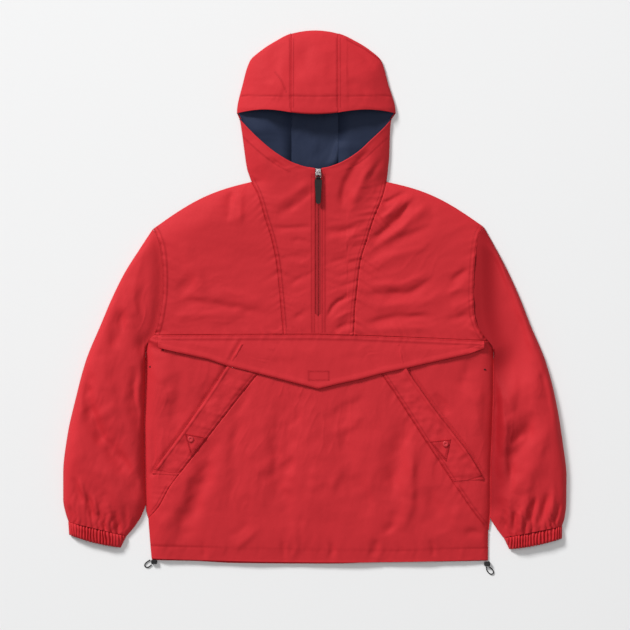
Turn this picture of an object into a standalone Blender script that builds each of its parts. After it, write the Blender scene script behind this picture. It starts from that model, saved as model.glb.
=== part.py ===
"""Anorak pullover laid flat on its back, front up, hood towards +Y.

Tables are in millimetres and are turned into metres where a mesh is made. The origin is
under the middle of the garment, on the surface that it lies on. The back panel and the
under layer of the hood lie on that surface. The front panels share one height function,
so that neighbours meet at their seams, and each panel is a sheet through rows of points
with a wall of cloth on its inner side.
"""

import math

import bmesh
import bpy
import numpy as np

MM = 0.001
LEFT, RIGHT = 1, 2  # columns of the tables below; left and right as the reader sees them

WALL = 1.2  # shell cloth with its turnings
THIN_WALL = 1.0  # lining and the small pieces that lie on a panel
SEAM_GAP = 0.4  # between neighbouring panels
NECK_Y = 211.5
HOOD_SEAM_X = (0, -43.7, 43.0)
ZIP_X = 6.1  # centre of the zip
ZIP_SLOT = 5.6  # half the width of the opening that shows the zip
ZIP_BOTTOM_Y = -35.0

# Side seams from the hem up: y, left x, right x.
SIDE_SEAM = (
    (-491, -303.5, 321.6), (-463, -306.0, 321.6), (-426, -309.0, 322.5), (-391, -312.7, 325.5),
    (-333, -315.0, 325.5), (-250, -316.6, 329.0), (-157, -314.5, 331.4), (-90, -314.0, 331.2),
)
# Hood outline from the neck up to the crown: y, left x, right x.
HOOD_EDGE = (
    (211.5, -118, 133), (237.5, -126.5, 136), (260, -130, 138), (304.5, -136, 139.5),
    (328, -140, 142), (340, -145, 150), (394, -134, 136), (436, -121, 123.5),
    (458, -97, 100), (475, -70, 72), (486, -48.5, 48.5),
)
# Princess seams, between the yokes and the front strips: y, left x, right x.
PRINCESS = (
    (-72, -58, 72), (-29, -62, 74), (16, -66, 78.5), (61, -71, 84), (105, -80, 97),
    (140, -91, 108), (185, -104.5, 126), (211.5, -118, 133),
)
# Armholes from the shoulder tip to the underarm: left x, left y, right x, right y.
ARMHOLE = (
    (-301, 124, 313.4, 128), (-294, 112, 304, 111), (-286.5, 88, 299, 84), (-283, 58, 296, 54),
    (-282, 30, 294.5, 26), (-283, 2, 294, -2), (-287, -28, 295.5, -32), (-292, -52, 303, -58),
    (-298.5, -73, 320, -83), (-306, -82, 326, -90), (-314, -91, 331, -98),
)
CHEST_STATION = 8  # row of ARMHOLE where the chest seam starts
SHOULDER_BOW = 14  # how far the shoulder line stands out from its chord
# Heights on the princess seam of a yoke's rows, which run out to the armhole's points.
YOKE_ROW_Y = (-71.5, -29, 16, 61, 105, 140, 163, 185, 211.5)
# Front strips: height on the outer edge, height on the inner edge, and inner x of the
# left and the right strip where the inner edge isn't the zip (the face opening).
STRIP_ROWS = (
    (-71.5, -71.5, 0, 0), (-37, -37, 0, 0), (-35, -35, 0, 0), (-29, -29, 0, 0), (16, 16, 0, 0),
    (61, 61, 0, 0), (105, 105, 0, 0), (140, 140, 0, 0), (185, 187, 0, 0), (211.5, 212, 0, 0),
    (231, 235, 0, 0), (250, 238.5, -17, 25), (270, 246, -40, 46), (290, 266, -74, 79),
    (308, 291, -104, 106), (320, 314, -127, 130),
)
OPENING_CORNER_Y = 328  # where the face opening turns round the fold of the hood
# Crown, from the brim up: y on the fold, y on the seam, bow of the row.
CROWN_ROWS = (
    (339, 338, 5.5), (362, 361, 3), (394, 394, 0), (428, 430, 0), (452, 458, 0), (470, 477, 0),
    (483, 485.5, 0),
)
# Diagonal pocket seams from the side seam up: left x, left y, right x, right y.
DIAGONAL = (
    (-309.6, -413.5, 322, -436), (-292, -395, 293, -400), (-269, -354, 262, -355),
    (-239, -315, 236, -316), (-208, -275, 210, -277), (-177, -235, 184, -237),
    (-142, -190, 155, -192), (-108, -147.5, 125, -147.5), (-80, -110, 99, -110),
    (-56, -73.8, 76, -73.8),
)
# Heights where the rows of a side panel meet the side seam, for rows 1 to 7 of DIAGONAL.
SIDE_ROW_Y = (-398, -360, -320, -280, -238, -192, -150)
SIDE_COLUMNS = (0, 0.2, 0.45, 0.72, 1)  # shares of its rows
SIDE_TIP_SETBACK = 1.5  # of its lower point from the seams that meet there
SIDE_SETBACK = 0.3  # of its outer edge from the side seam
# Centre panel below the diagonal seams: left y, right y, bow of the row.
HEM_ROWS = ((-488.5, -491, -6), (-463, -468, -4), (-438, -452, -2))
# Pocket mouths from the top down: left x, left y, right x, right y.
MOUTH = (
    (-139, -90, 158, -90), (-161, -127, 167, -127), (-197, -183, 202, -183),
    (-222, -219, 228, -219), (-246.6, -253.5, 255, -253.5), (-276, -293, 285, -293),
    (-303, -330, 314, -341),
)
# Lower edge of the pocket flap: x, y.
FLAP_EDGE = (
    (-291, -97), (-251, -106.6), (-199, -118), (-164, -130), (-104.5, -145), (-44, -160.5),
    (5.6, -173.5), (40, -165), (81, -156), (126, -144), (171, -134.5), (239, -119),
    (284, -109), (314, -98),
)
# Rows of the flap: share of the way down from the chest seam, lift over the panels.
FLAP_ROWS = ((0, 1.7), (0.22, 3.0), (0.6, 3.3), (1, 3.6))
CHEST_LINE = ((-300, -73.4), (0, -72.4), (76, -74), (320, -84))  # x, y of the flap's upper edge
POCKET_LIFT, TAB_LIFT = 1.9, 3.4  # of their outer faces over the panels
# Stitched tabs on the pockets: the two top corners, the point, the snap.
TABS = {
    LEFT: ((-242, -255), (-201, -263), (-229, -300), (-230.5, -266)),
    RIGHT: ((212, -270), (252, -266), (243, -307), (242, -275)),
}
# Sleeves from the armhole down: y and x of the outer edge, the same of the inner edge,
# bow of the row towards the body, height of the cloth. The armhole itself is row 0.
SLEEVE = {
    LEFT: (
        (88, -325, -112, -316.5, 17, 17), (42, -354, -140, -316.6, 11, 16), (-2, -376, -172, -317, 8, 19),
        (-56, -399, -206, -317.7, 6, 21), (-120, -425.5, -252, -318.4, 4, 23),
        (-190, -444.5, -302, -317.4, 3, 24), (-262, -460.5, -347, -316.2, 2, 24),
        (-330, -468, -384, -315.2, 0, 22), (-378, -468, -406, -321, 0, 20),
        (-405, -463, -428, -334.5, 0, 17), (-420, -458, -446.5, -350, 0, 14),
    ),
    RIGHT: (
        (90, 335, -118, 334.4, 12, 17), (44, 359, -146, 334.2, 10, 15), (0, 379, -178, 333.6, 9, 17),
        (-56, 401, -212, 333, 6, 20), (-122, 428.5, -258, 331.6, 4, 22),
        (-194, 447.5, -308, 329.5, 3, 24), (-270, 460, -352, 328, 2, 24),
        (-337, 467.5, -388, 327.8, 0, 22), (-385, 467, -410, 329.5, 0, 20),
        (-412, 464, -432, 337, 0, 17), (-428, 459, -450, 350.5, 0, 14),
    ),
}
SLEEVE_POINTS = (0, 0.05, 0.15, 0.26, 0.38, 0.5, 0.61, 0.71, 0.8, 0.88, 1)  # across the top
# Cuffs: the outer and inner ends of the top and bottom edge.
CUFF = {
    LEFT: ((-458.5, -421.5), (-350.5, -448.5), (-457, -444), (-361, -468)),
    RIGHT: ((459.5, -429.5), (351, -452), (459, -451), (361, -471)),
}
CUFF_PLEATS, CUFF_PLEAT_DEPTH, CUFF_HEIGHT = 9, 1.6, 13

# Height of the outer face of the front over the surface: y, height on the outline, loft
# inside it, distance over which it rises.
LOFT = (
    (-491, 2.9, 6, 18), (-440, 2.9, 10, 22), (-330, 2.9, 12, 24), (-90, 2.9, 13, 24),
    (60, 2.9, 14, 26), (150, 3.0, 17, 28), (211.5, 4.2, 20, 28), (237, 6.0, 20, 30),
    (300, 7.0, 22, 40), (340, 7.0, 33, 46), (394, 7.0, 30, 44), (440, 7.0, 22, 38),
    (493, 7.0, 16, 30),
)
FOLD_MIDDLE = 3.4  # height of the outermost line of a fold
LINING_INSET = WALL + 0.6  # from the shell's outer face to the lining's
LINING_NARROWER = 3.2  # how far the lining's folds stand back from the shell's
CROWN_TOP_Y, CROWN_SIDE_Y = 493, 487
# Broad folds: x and y of both ends, half width, height.
FOLDS = (
    (-205, 20, -215, 150, 26, 1.8), (190, 30, 215, 150, 26, 1.6), (-60, -330, -150, -460, 30, 1.8),
    (40, -250, 70, -450, 34, 2.0), (180, -370, 150, -470, 26, 1.8),
)

# Zip, slider and puller.
COIL_WIDTH, COIL_HEIGHT = 3.2, 1.6
TAPE_DROP = 2.2  # of the tape's outer face below the front strips
SLIDER_Y, SLIDER_LENGTH, SLIDER_WIDTH, PLATE_HEIGHT = 228.5, 13, 10, 2.2
BRIDGE_WIDTH, BRIDGE_LENGTH, BRIDGE_HEIGHT, BRIDGE_WALL = 3, 9.6, 4.2, 1.3
WIRE_RADIUS, RING_HALF_WIDTH, RING_LENGTH = 0.75, 4.9, 9.5
TAB_TOP_WIDTH, TAB_END_WIDTH, TAB_END_Y, TAB_THICKNESS = 13, 8.5, 169.5, 2.0
BARREL_RADIUS, BARREL_HOLE, BARREL_WIDTH = 2.3, 1.1, 6.8

SNAP_RADIUS, SNAP_HEIGHT, SNAP_CLEARANCE = 5.75, 2.0, 0.6
LOCK_LENGTH, LOCK_WIDTH, LOCK_HEIGHT = 11, 8, 7
LOCKS = {LEFT: (-299.0, -494.6, 0), RIGHT: (320, -498.4, 0)}
CORD_RADIUS = 1.0
# Routes of the two hem cords on the surface: x, y.
CORD_ROUTE = {
    LEFT: (
        (-306.6, -491.4), (-309.5, -493.2), (-313.2, -495.8), (-316.0, -499.0), (-316.6, -502.4),
        (-314.2, -504.8), (-310.6, -505.0), (-307.4, -503.2), (-303.8, -500.2),
    ),
    RIGHT: (
        (319.2, -503.9), (319.0, -507.5), (320.2, -511.6), (323.0, -515.4), (327.0, -517.8),
        (330.8, -516.8), (331.8, -513.2), (329.6, -509.0), (326.2, -506.0), (323.0, -503.9),
    ),
}

RED = (0.50, 0.028, 0.034)
NAVY = (0.022, 0.030, 0.058)
METAL = (0.60, 0.55, 0.54)
BLACK = (0.012, 0.011, 0.012)


# ---------------------------------------------------------------- shapes


def named(side):
    return "left" if side == LEFT else "right"


def sign(side):
    return -1 if side == LEFT else 1


def read(table, column, at):
    """A column of a table at a value of its first column, or of any list of values."""
    table = np.array(sorted(table), float)
    return np.interp(at, table[:, 0], table[:, column])


def pair(table, side):
    """The x and y columns of one side of a table of both sides."""
    first = 0 if side == LEFT else 2
    return [(row[first], row[first + 1]) for row in table]


def shoulder(side, count=9):
    """The shoulder line from the tip to the neck."""
    tip = np.array(pair(ARMHOLE, side)[0], float)
    neck = np.array((HOOD_EDGE[0][side], NECK_Y), float)
    s = np.linspace(0, 1, count)[:, None]
    return tip + (neck - tip) * s + np.array((0, SHOULDER_BOW)) * np.sin(math.pi * s)


def outline_segments():
    """Segments of the garment's outline that the front rolls down to."""
    lines = []
    for side in (LEFT, RIGHT):
        lines.append([(row[side], row[0]) for row in SIDE_SEAM])
        lines.append(list(shoulder(side)))
        lines.append([(row[side], row[0]) for row in HOOD_EDGE] + [(0, CROWN_TOP_Y)])
    ends = [(a, b) for line in lines for a, b in zip(line, line[1:])]
    return np.array(ends, float)


OUTLINE = outline_segments()


def distance(x, y, segments):
    """Distance of each point to the nearest of the segments."""
    p = np.stack([x, y], -1)[..., None, :]
    a, b = segments[:, 0], segments[:, 1]
    along = np.clip(((p - a) * (b - a)).sum(-1) / ((b - a) ** 2).sum(-1), 0, 1)
    return np.linalg.norm(p - a - along[..., None] * (b - a), axis=-1).min(-1)


def height(x, y):
    """Outer face of the front over the surface."""
    x, y = np.broadcast_arrays(np.asarray(x, float), np.asarray(y, float))
    d = distance(x, y, OUTLINE)
    rise = 1 - np.exp(-d / read(LOFT, 3, y))
    z = read(LOFT, 1, y) + read(LOFT, 2, y) * rise
    for x0, y0, x1, y1, half_width, crest in FOLDS:
        off = distance(x, y, np.array([[(x0, y0), (x1, y1)]], float))
        z = z + crest * np.exp(-((off / half_width) ** 2)) * rise
    return z


def between(outer, inner, shares, bow=0.0):
    """Points (x, y) from outer to inner, with the row bowed by so much in y."""
    outer, inner = np.array(outer, float), np.array(inner, float)
    s = np.array(shares, float)[:, None]
    return outer + (inner - outer) * s + np.array((0, bow)) * np.sin(math.pi * s)


def on_front(rows, lift=0.0):
    """Rows of (x, y) raised to the front's height and lift more."""
    flat = np.array(rows, float)
    z = height(flat[..., 0], flat[..., 1]) + lift
    return np.concatenate([flat, z[..., None]], -1)


# ---------------------------------------------------------------- objects


def material(name, color, roughness, metallic=0.0):
    made = bpy.data.materials.new(name)
    made.use_nodes = True
    shader = made.node_tree.nodes["Principled BSDF"]
    shader.inputs["Base Color"].default_value = (*color, 1)
    shader.inputs["Roughness"].default_value = roughness
    shader.inputs["Metallic"].default_value = metallic
    made.diffuse_color = (*color, 1)
    return made


def place(name, mesh, collection, finish):
    obj = bpy.data.objects.new(name, mesh)
    collection.objects.link(obj)
    mesh.materials.append(material(name, *finish))
    return obj


def sheet(name, points, finish, collection, wall=WALL, flip=False, holes=()):
    """A sheet through rows of points, whose cells in holes are left out, with its wall."""
    points = np.array(points, float)
    count_rows, count_columns = points.shape[:2]
    bm = bmesh.new()
    bmesh.ops.create_grid(bm, x_segments=count_columns - 1, y_segments=count_rows - 1, size=1)
    bm.verts.ensure_lookup_table()
    at = {}
    for vert in bm.verts:
        column = round((vert.co.x + 1) / 2 * (count_columns - 1))
        row = round((vert.co.y + 1) / 2 * (count_rows - 1))
        at[vert] = (row, column)
    out = [f for f in bm.faces if tuple(np.min([at[v] for v in f.verts], axis=0)) in holes]
    bmesh.ops.delete(bm, geom=out, context="FACES")
    for vert in bm.verts:
        vert.co = points[at[vert]] * MM
    bmesh.ops.remove_doubles(bm, verts=bm.verts, dist=2e-5)
    if flip:
        bmesh.ops.reverse_faces(bm, faces=bm.faces)
    mesh = bpy.data.meshes.new(name)
    bm.to_mesh(mesh)
    bm.free()
    mesh.shade_smooth()
    obj = place(name, mesh, collection, finish)
    solidify = obj.modifiers.new("wall", "SOLIDIFY")
    solidify.thickness = wall * MM
    solidify.offset = -1
    return obj


def prism(name, outline, low, high, finish, collection):
    """A flat outline of (x, y) between two heights."""
    curve = bpy.data.curves.new(name, "CURVE")
    curve.dimensions = "2D"
    curve.fill_mode = "BOTH"
    curve.extrude = (high - low) / 2 * MM
    spline = curve.splines.new("POLY")
    spline.points.add(len(outline) - 1)
    for point, (x, y) in zip(spline.points, outline):
        point.co = (x * MM, y * MM, 0, 1)
    spline.use_cyclic_u = True
    obj = place(name, curve, collection, finish)
    obj.location.z = (low + high) / 2 * MM
    return obj


def tube(name, route, radius, finish, collection, closed=False, round_steps=2):
    """A round wire or cord through (x, y, z) points."""
    curve = bpy.data.curves.new(name, "CURVE")
    curve.dimensions = "3D"
    curve.bevel_depth = radius * MM
    curve.bevel_resolution = round_steps
    curve.use_fill_caps = True
    spline = curve.splines.new("POLY")
    spline.points.add(len(route) - 1)
    for point, place_of in zip(spline.points, route):
        point.co = (*(np.array(place_of) * MM), 1)
    spline.use_cyclic_u = closed
    return place(name, curve, collection, finish)


def box(name, size, centre, finish, collection, bevel=0.0):
    bm = bmesh.new()
    bmesh.ops.create_cube(bm, size=1)
    bmesh.ops.scale(bm, vec=np.array(size) * MM, verts=bm.verts)
    mesh = bpy.data.meshes.new(name)
    bm.to_mesh(mesh)
    bm.free()
    obj = place(name, mesh, collection, finish)
    obj.location = np.array(centre) * MM
    if bevel:
        rounded = obj.modifiers.new("rounded", "BEVEL")
        rounded.width = bevel * MM
        rounded.segments = 2
    return obj


def rod(name, radius, length, centre, finish, collection, along_x=True, sides=20):
    bm = bmesh.new()
    bmesh.ops.create_cone(
        bm, cap_ends=True, segments=sides, radius1=radius * MM, radius2=radius * MM, depth=length * MM
    )
    mesh = bpy.data.meshes.new(name)
    bm.to_mesh(mesh)
    bm.free()
    obj = place(name, mesh, collection, finish)
    obj.location = np.array(centre) * MM
    if along_x:
        obj.rotation_euler.y = math.pi / 2
    return obj


def combine(obj, other, operation, cutters):
    """A Boolean of obj with other, which becomes a hidden helper."""
    boolean = obj.modifiers.new(operation.lower(), "BOOLEAN")
    boolean.operation = operation
    boolean.object = other
    for collection in list(other.users_collection):
        collection.objects.unlink(other)
    cutters.objects.link(other)
    other.hide_render = True
    other.display_type = "WIRE"


# ---------------------------------------------------------------- body


CLOTH = (RED, 0.72)


def back_panel(collection):
    """The whole back, flat on the surface, from the hem to the neck."""
    edge = []
    for side in (LEFT, RIGHT):
        up = [(row[side], row[0]) for row in SIDE_SEAM[:-1]]
        up[0] = (up[0][0], HEM_ROWS[0][side - 1] + 1)
        up += pair(ARMHOLE, side)[::-1] + [tuple(p) for p in shoulder(side)[1:-1]]
        up.append((HOOD_EDGE[0][side], NECK_Y - 0.5))
        edge += up if side == LEFT else up[::-1]
    hem = between(edge[-1], edge[0], (0.2, 0.4, 0.6, 0.8), HEM_ROWS[0][2] + 1)
    edge += [tuple(p) for p in hem]
    return prism("back_panel", edge, 0, WALL, CLOTH, collection)


def yoke(side, collection):
    """Upper front between the armhole and the princess seam, from chest to shoulder."""
    rows = []
    armhole = pair(ARMHOLE, side)[: CHEST_STATION + 1][::-1]
    for k, (outer, y) in enumerate(zip(armhole, YOKE_ROW_Y)):
        share = k / (len(armhole) - 1)
        inner_x = read(PRINCESS, side, y) + sign(side) * SEAM_GAP
        outer_x = outer[0] - sign(side) * SEAM_GAP / 2
        bow = SHOULDER_BOW * share**2
        rows.append(between((outer_x, outer[1]), (inner_x, y), (0, 0.14, 0.32, 0.5, 0.68, 0.85, 1), bow))
    return sheet(f"yoke_{named(side)}", on_front(rows), CLOTH, collection, flip=side == RIGHT)


def lower_center(collection):
    rows = []
    columns = np.linspace(0, 1, 15)
    for left_y, right_y, bow in HEM_ROWS:
        left = (read(SIDE_SEAM, LEFT, left_y), left_y)
        right = (read(SIDE_SEAM, RIGHT, right_y), right_y)
        rows.append(between(left, right, columns, bow))
    for left_x, left_y, right_x, right_y in DIAGONAL:
        rows.append(between((left_x, left_y), (right_x, right_y), columns))
    return sheet("front_lower_center", on_front(rows), CLOTH, collection)


def side_rows(side):
    """Rows of a side panel from its point at the side seam up to the chest seam."""
    diagonal = pair(DIAGONAL, side)
    armhole = pair(ARMHOLE, side)
    outers = [(read(SIDE_SEAM, side, y), y) for y in SIDE_ROW_Y]
    outers += [armhole[-1], armhole[CHEST_STATION]]
    outers[-1] = (outers[-1][0], outers[-1][1] - SEAM_GAP)
    shift = np.array((sign(side) * SEAM_GAP, SEAM_GAP))
    tip = np.array(diagonal[0]) + np.array((0, SIDE_TIP_SETBACK))
    rows = [between(tip, tip, SIDE_COLUMNS)]
    for outer, inner in zip(outers, diagonal[1:]):
        rows.append(between(np.array(outer) - (sign(side) * SIDE_SETBACK, 0), np.array(inner) + shift, SIDE_COLUMNS))
    return rows


def lower_side(side, collection):
    points = on_front(side_rows(side))
    return sheet(f"front_lower_side_{named(side)}", points, CLOTH, collection, flip=side == RIGHT)


def pocket_front(side, collection):
    """The pocket's front, on the side panel, from the mouth to the diagonal seam."""
    diagonal = np.array(pair(DIAGONAL, side)[::-1])
    rows = []
    for mouth_x, mouth_y in pair(MOUTH, side):
        order = np.argsort(diagonal[:, 1])
        inner_y = mouth_y - 3
        inner_x = np.interp(inner_y, diagonal[order, 1], diagonal[order, 0]) + sign(side) * 1.2
        rows.append(between((mouth_x, mouth_y), (inner_x, inner_y), (0, 0.5, 1)))
    points = on_front(rows, POCKET_LIFT)
    return sheet(
        f"pocket_front_{named(side)}", points, CLOTH, collection, THIN_WALL, flip=side == LEFT
    )


def pocket_flap(collection):
    x, low_y = np.array(FLAP_EDGE).T
    top_y = np.interp(x, *np.array(CHEST_LINE).T) - 2 * SEAM_GAP
    rows = []
    for share, lift in FLAP_ROWS:
        line = np.column_stack([x, top_y + (low_y - top_y) * share])
        rows.append(on_front([line], lift)[0])
    return sheet("pocket_flap", rows, CLOTH, collection, THIN_WALL, flip=True)


def snap_tab(side, collection):
    """A stitched triangle over the pocket's mouth, its point down."""
    first, second, point = (np.array(p, float) for p in TABS[side][:3])
    rows = []
    for s in (0, 0.5, 1):
        left = first + (point - first) * s
        right = second + (point - second) * s
        rows.append(between(left, right, (0, 0.5, 1)))
    points = on_front(rows, TAB_LIFT)
    return sheet(f"snap_tab_{named(side)}", points, CLOTH, collection, THIN_WALL, flip=True)


def snap(side, collection):
    """A round press-stud cap with a dimple."""
    x, y = TABS[side][3]
    base = float(height(x, y)) + TAB_LIFT + SNAP_CLEARANCE
    profile = ((0, 0), (SNAP_RADIUS - 0.4, 0), (SNAP_RADIUS, 0.7), (SNAP_RADIUS - 0.8, 1.7),
               (SNAP_RADIUS - 2.2, SNAP_HEIGHT), (1.6, SNAP_HEIGHT - 0.2), (0, SNAP_HEIGHT - 0.9))
    bm = bmesh.new()
    line = [bm.verts.new((r * MM, 0, z * MM)) for r, z in profile]
    edges = [bm.edges.new(ends) for ends in zip(line, line[1:])]
    bmesh.ops.spin(
        bm, geom=line + edges, cent=(0, 0, 0), axis=(0, 0, 1), angle=math.tau, steps=20,
        use_merge=True, use_duplicate=False,
    )
    bmesh.ops.remove_doubles(bm, verts=bm.verts, dist=1e-6)
    bmesh.ops.recalc_face_normals(bm, faces=bm.faces)
    mesh = bpy.data.meshes.new("snap")
    bm.to_mesh(mesh)
    bm.free()
    obj = place(f"snap_{named(side)}", mesh, collection, (RED, 0.35))
    obj.location = (x * MM, y * MM, base * MM)
    return obj


# ---------------------------------------------------------------- hood


def zip_edge(side, y):
    """Inner edge of a front strip beside the zip, or at the centre below it."""
    half = ZIP_SLOT if y > ZIP_BOTTOM_Y - 1 else SEAM_GAP / 2
    return ZIP_X + sign(side) * half


UNDER = (0, 0.5, 0.95)  # shares across the under layer, from the seam to the fold
OVER = (0.05, 0.2, 0.45, 0.72, 1)  # shares across the top layer, from the fold inwards


def hood_side_points(side, inset=0.0, from_neck=False):
    """Rows of a hood side and the front strip below it, and the cells that they leave out.

    Each row runs from the seam of the under layer out to the fold and back over the top.
    """
    rows, holes = [], set()
    narrowed = LINING_NARROWER if inset else 0
    seam_x = HOOD_SEAM_X[side] + sign(side) * SEAM_GAP
    strip = [row for row in STRIP_ROWS if row[0] >= NECK_Y or not from_neck]
    entries = [("strip", row) for row in strip] + [("corner", (OPENING_CORNER_Y,))]
    entries += [("crown", row) for row in CROWN_ROWS]
    for k, (kind, row) in enumerate(entries):
        y = row[0]
        hooded = y >= NECK_Y
        edge_x = float(read(HOOD_EDGE if hooded else PRINCESS, side, y))
        if kind == "strip":
            given = row[1 + side]
            beside_zip = zip_edge(side, row[1]) + sign(side) * narrowed
            inner, bow = (given or beside_zip, row[1]), 0
        elif kind == "corner":
            inner, bow = (edge_x, y), 0
        else:
            inner, bow = (seam_x, row[1]), row[2]
        fold_z = FOLD_MIDDLE + narrowed / 4 if hooded else float(height(edge_x, y))
        narrow = min(narrowed, abs(edge_x - seam_x) / 2) * sign(side)
        fold_x = edge_x - narrow
        under = between((seam_x, y), (fold_x, y), UNDER)
        line = [(x, at_y, inset) for x, at_y in under] + [(fold_x, y, fold_z)]
        over = between((edge_x, y), inner, OVER, bow)
        for share, (x, at_y) in zip(OVER, over):
            if kind == "corner":
                line.append((fold_x, y, fold_z))
            else:
                z = max(float(height(x, at_y)) - inset, inset + 2.2)
                line.append((x - narrow * (1 - share) ** 3, at_y, z))
        rows.append(line)
        if k:
            above_kind, above_y = entries[k][0], entries[k - 1][1][0]
            if above_y < NECK_Y:
                holes |= {(k - 1, column) for column in range(len(UNDER))}
            if above_kind == "crown" and entries[k - 1][0] == "corner":
                holes |= {(k - 1, len(UNDER) + column) for column in range(len(OVER))}
    return rows, holes


def hood_side(side, collection):
    rows, holes = hood_side_points(side)
    name = f"front_hood_{named(side)}"
    return sheet(name, rows, CLOTH, collection, flip=side == RIGHT, holes=holes)


def hood_lining(side, collection):
    rows, holes = hood_side_points(side, LINING_INSET, from_neck=True)
    name = f"hood_lining_{named(side)}"
    finish = (NAVY, 0.6)
    return sheet(name, rows, finish, collection, THIN_WALL, side == RIGHT, holes)


def crown_y(x):
    return CROWN_TOP_Y - (CROWN_TOP_Y - CROWN_SIDE_Y) * (x / HOOD_SEAM_X[RIGHT]) ** 2


def center_points(inset=0.0):
    """Rows of the hood's centre panel from the back of the neck over the crown to the brim."""
    xs = np.linspace(HOOD_SEAM_X[LEFT], HOOD_SEAM_X[RIGHT], 5)
    rows = [[(x, y, inset) for x in xs] for y in (NECK_Y, 300, 400)]
    narrowed = LINING_NARROWER if inset else 0
    rows.append([(x, crown_y(x) - narrowed - 4, inset) for x in xs])
    rows.append([(x, crown_y(x) - narrowed, FOLD_MIDDLE + narrowed / 4) for x in xs])
    for share in (0.03, 0.1, 0.22, 0.4, 0.65, 1):
        line = []
        for x in xs:
            brim_y = 335 + 3 * (x / HOOD_SEAM_X[RIGHT]) ** 2
            y = crown_y(x) + (brim_y - crown_y(x)) * share
            line.append((x, y - narrowed * (1 - share) ** 8, float(height(x, y)) - inset))
        rows.append(line)
    return rows


def hood_center(collection):
    return sheet("hood_center", center_points(), CLOTH, collection, flip=True)


def lining_center(collection):
    points = center_points(LINING_INSET)
    finish = (NAVY, 0.6)
    return sheet("hood_lining_center", points, finish, collection, THIN_WALL, flip=True)


# ---------------------------------------------------------------- sleeves


def loop(top, underside_shares):
    """A closed section: along the top from outer to inner, and back along the surface."""
    top = np.array(top, float)
    along = np.linspace(0, 1, len(top))
    under = []
    for share in underside_shares[::-1]:
        x = np.interp(share, along, top[:, 0])
        y = np.interp(share, along, top[:, 1])
        under.append((x, y, 0))
    return list(map(tuple, top)) + under + [tuple(top[0])]


UNDERSIDE = (0.12, 0.3, 0.5, 0.7, 0.88)
SLEEVE_EDGE = 3.6  # height of the outermost line of a sleeve's folds


def sleeve(side, collection):
    """A flattened tube from the armhole to the cuff, open at both ends."""
    armhole = np.array(pair(ARMHOLE, side), float) + np.array((sign(side) * SEAM_GAP, 0))
    heights = np.maximum(height(armhole[:, 0], armhole[:, 1]) - 2.5, 4)
    heights[0] = heights[-1] = SLEEVE_EDGE
    armhole[0] += (sign(side) * 0.6, -0.6)
    armhole[-1] += (sign(side) * 0.8, 0)
    rows = [loop(np.column_stack([armhole, heights]), UNDERSIDE)]
    shares = np.array(SLEEVE_POINTS)
    for outer_y, outer_x, inner_y, inner_x, bow, tall in SLEEVE[side]:
        line = between((outer_x, outer_y), (inner_x, inner_y), shares)
        line[:, 0] -= sign(side) * bow * np.sin(math.pi * shares) ** 2
        arch = np.sin(math.pi * shares) ** 0.6
        z = SLEEVE_EDGE + (tall - SLEEVE_EDGE) * arch
        rows.append(loop(np.column_stack([line, z]), UNDERSIDE))
    return sheet(f"sleeve_{named(side)}", rows, CLOTH, collection, flip=side == LEFT)


def cuff(side, collection):
    """A pleated ring, gathered on elastic, its underside on the surface."""
    outer_top, inner_top, outer_low, inner_low = CUFF[side]
    shares = np.linspace(0, 1, 2 * CUFF_PLEATS + 1)
    pleat = np.array([k % 2 for k in range(len(shares))]) * CUFF_PLEAT_DEPTH
    rows = []
    for outer, inner, tall in ((outer_top, inner_top, 1.0), (outer_low, inner_low, 0.85)):
        line = between(outer, inner, shares, -3)
        arch = np.sin(math.pi * shares) ** 0.5
        z = SLEEVE_EDGE + (CUFF_HEIGHT * tall - SLEEVE_EDGE) * arch - pleat * arch
        rows.append(loop(np.column_stack([line, z]), UNDERSIDE))
    return sheet(f"cuff_{named(side)}", rows, CLOTH, collection, flip=side == LEFT)


# ---------------------------------------------------------------- fastenings


ZIP_STATIONS = (-34, 16, 61, 105, 150, 187, 212, 234)


def zip_strip(name, low_x, high_x, drop, wall, finish, collection):
    """A strip along the zip, below the front's outer face by drop."""
    rows = [[(x, y) for x in (low_x, high_x)] for y in ZIP_STATIONS]
    return sheet(name, on_front(rows, -drop), finish, collection, wall)


def zip_tapes(collection):
    half = ZIP_SLOT + 1.4
    finish = (RED, 0.6)
    zip_strip("zip_tape_left", ZIP_X - half, ZIP_X - 0.3, TAPE_DROP, THIN_WALL, finish, collection)
    zip_strip("zip_tape_right", ZIP_X + 0.3, ZIP_X + half, TAPE_DROP, THIN_WALL, finish, collection)


def zip_coil(collection):
    drop = TAPE_DROP - 0.3 - COIL_HEIGHT
    half = COIL_WIDTH / 2
    return zip_strip("zip_coil", ZIP_X - half, ZIP_X + half, drop, COIL_HEIGHT, (RED, 0.4), collection)


def slider_base():
    """Height of the slider's underside, clear of the coil."""
    drop = TAPE_DROP - 0.3 - COIL_HEIGHT
    ys = np.linspace(SLIDER_Y - 7, SLIDER_Y + 7, 5)
    return float(height(np.full(5, ZIP_X), ys).max()) - drop + 0.35


def hinge_height():
    return slider_base() + PLATE_HEIGHT + WIRE_RADIUS + 0.6


HINGE_Y = SLIDER_Y - 1.0


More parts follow.
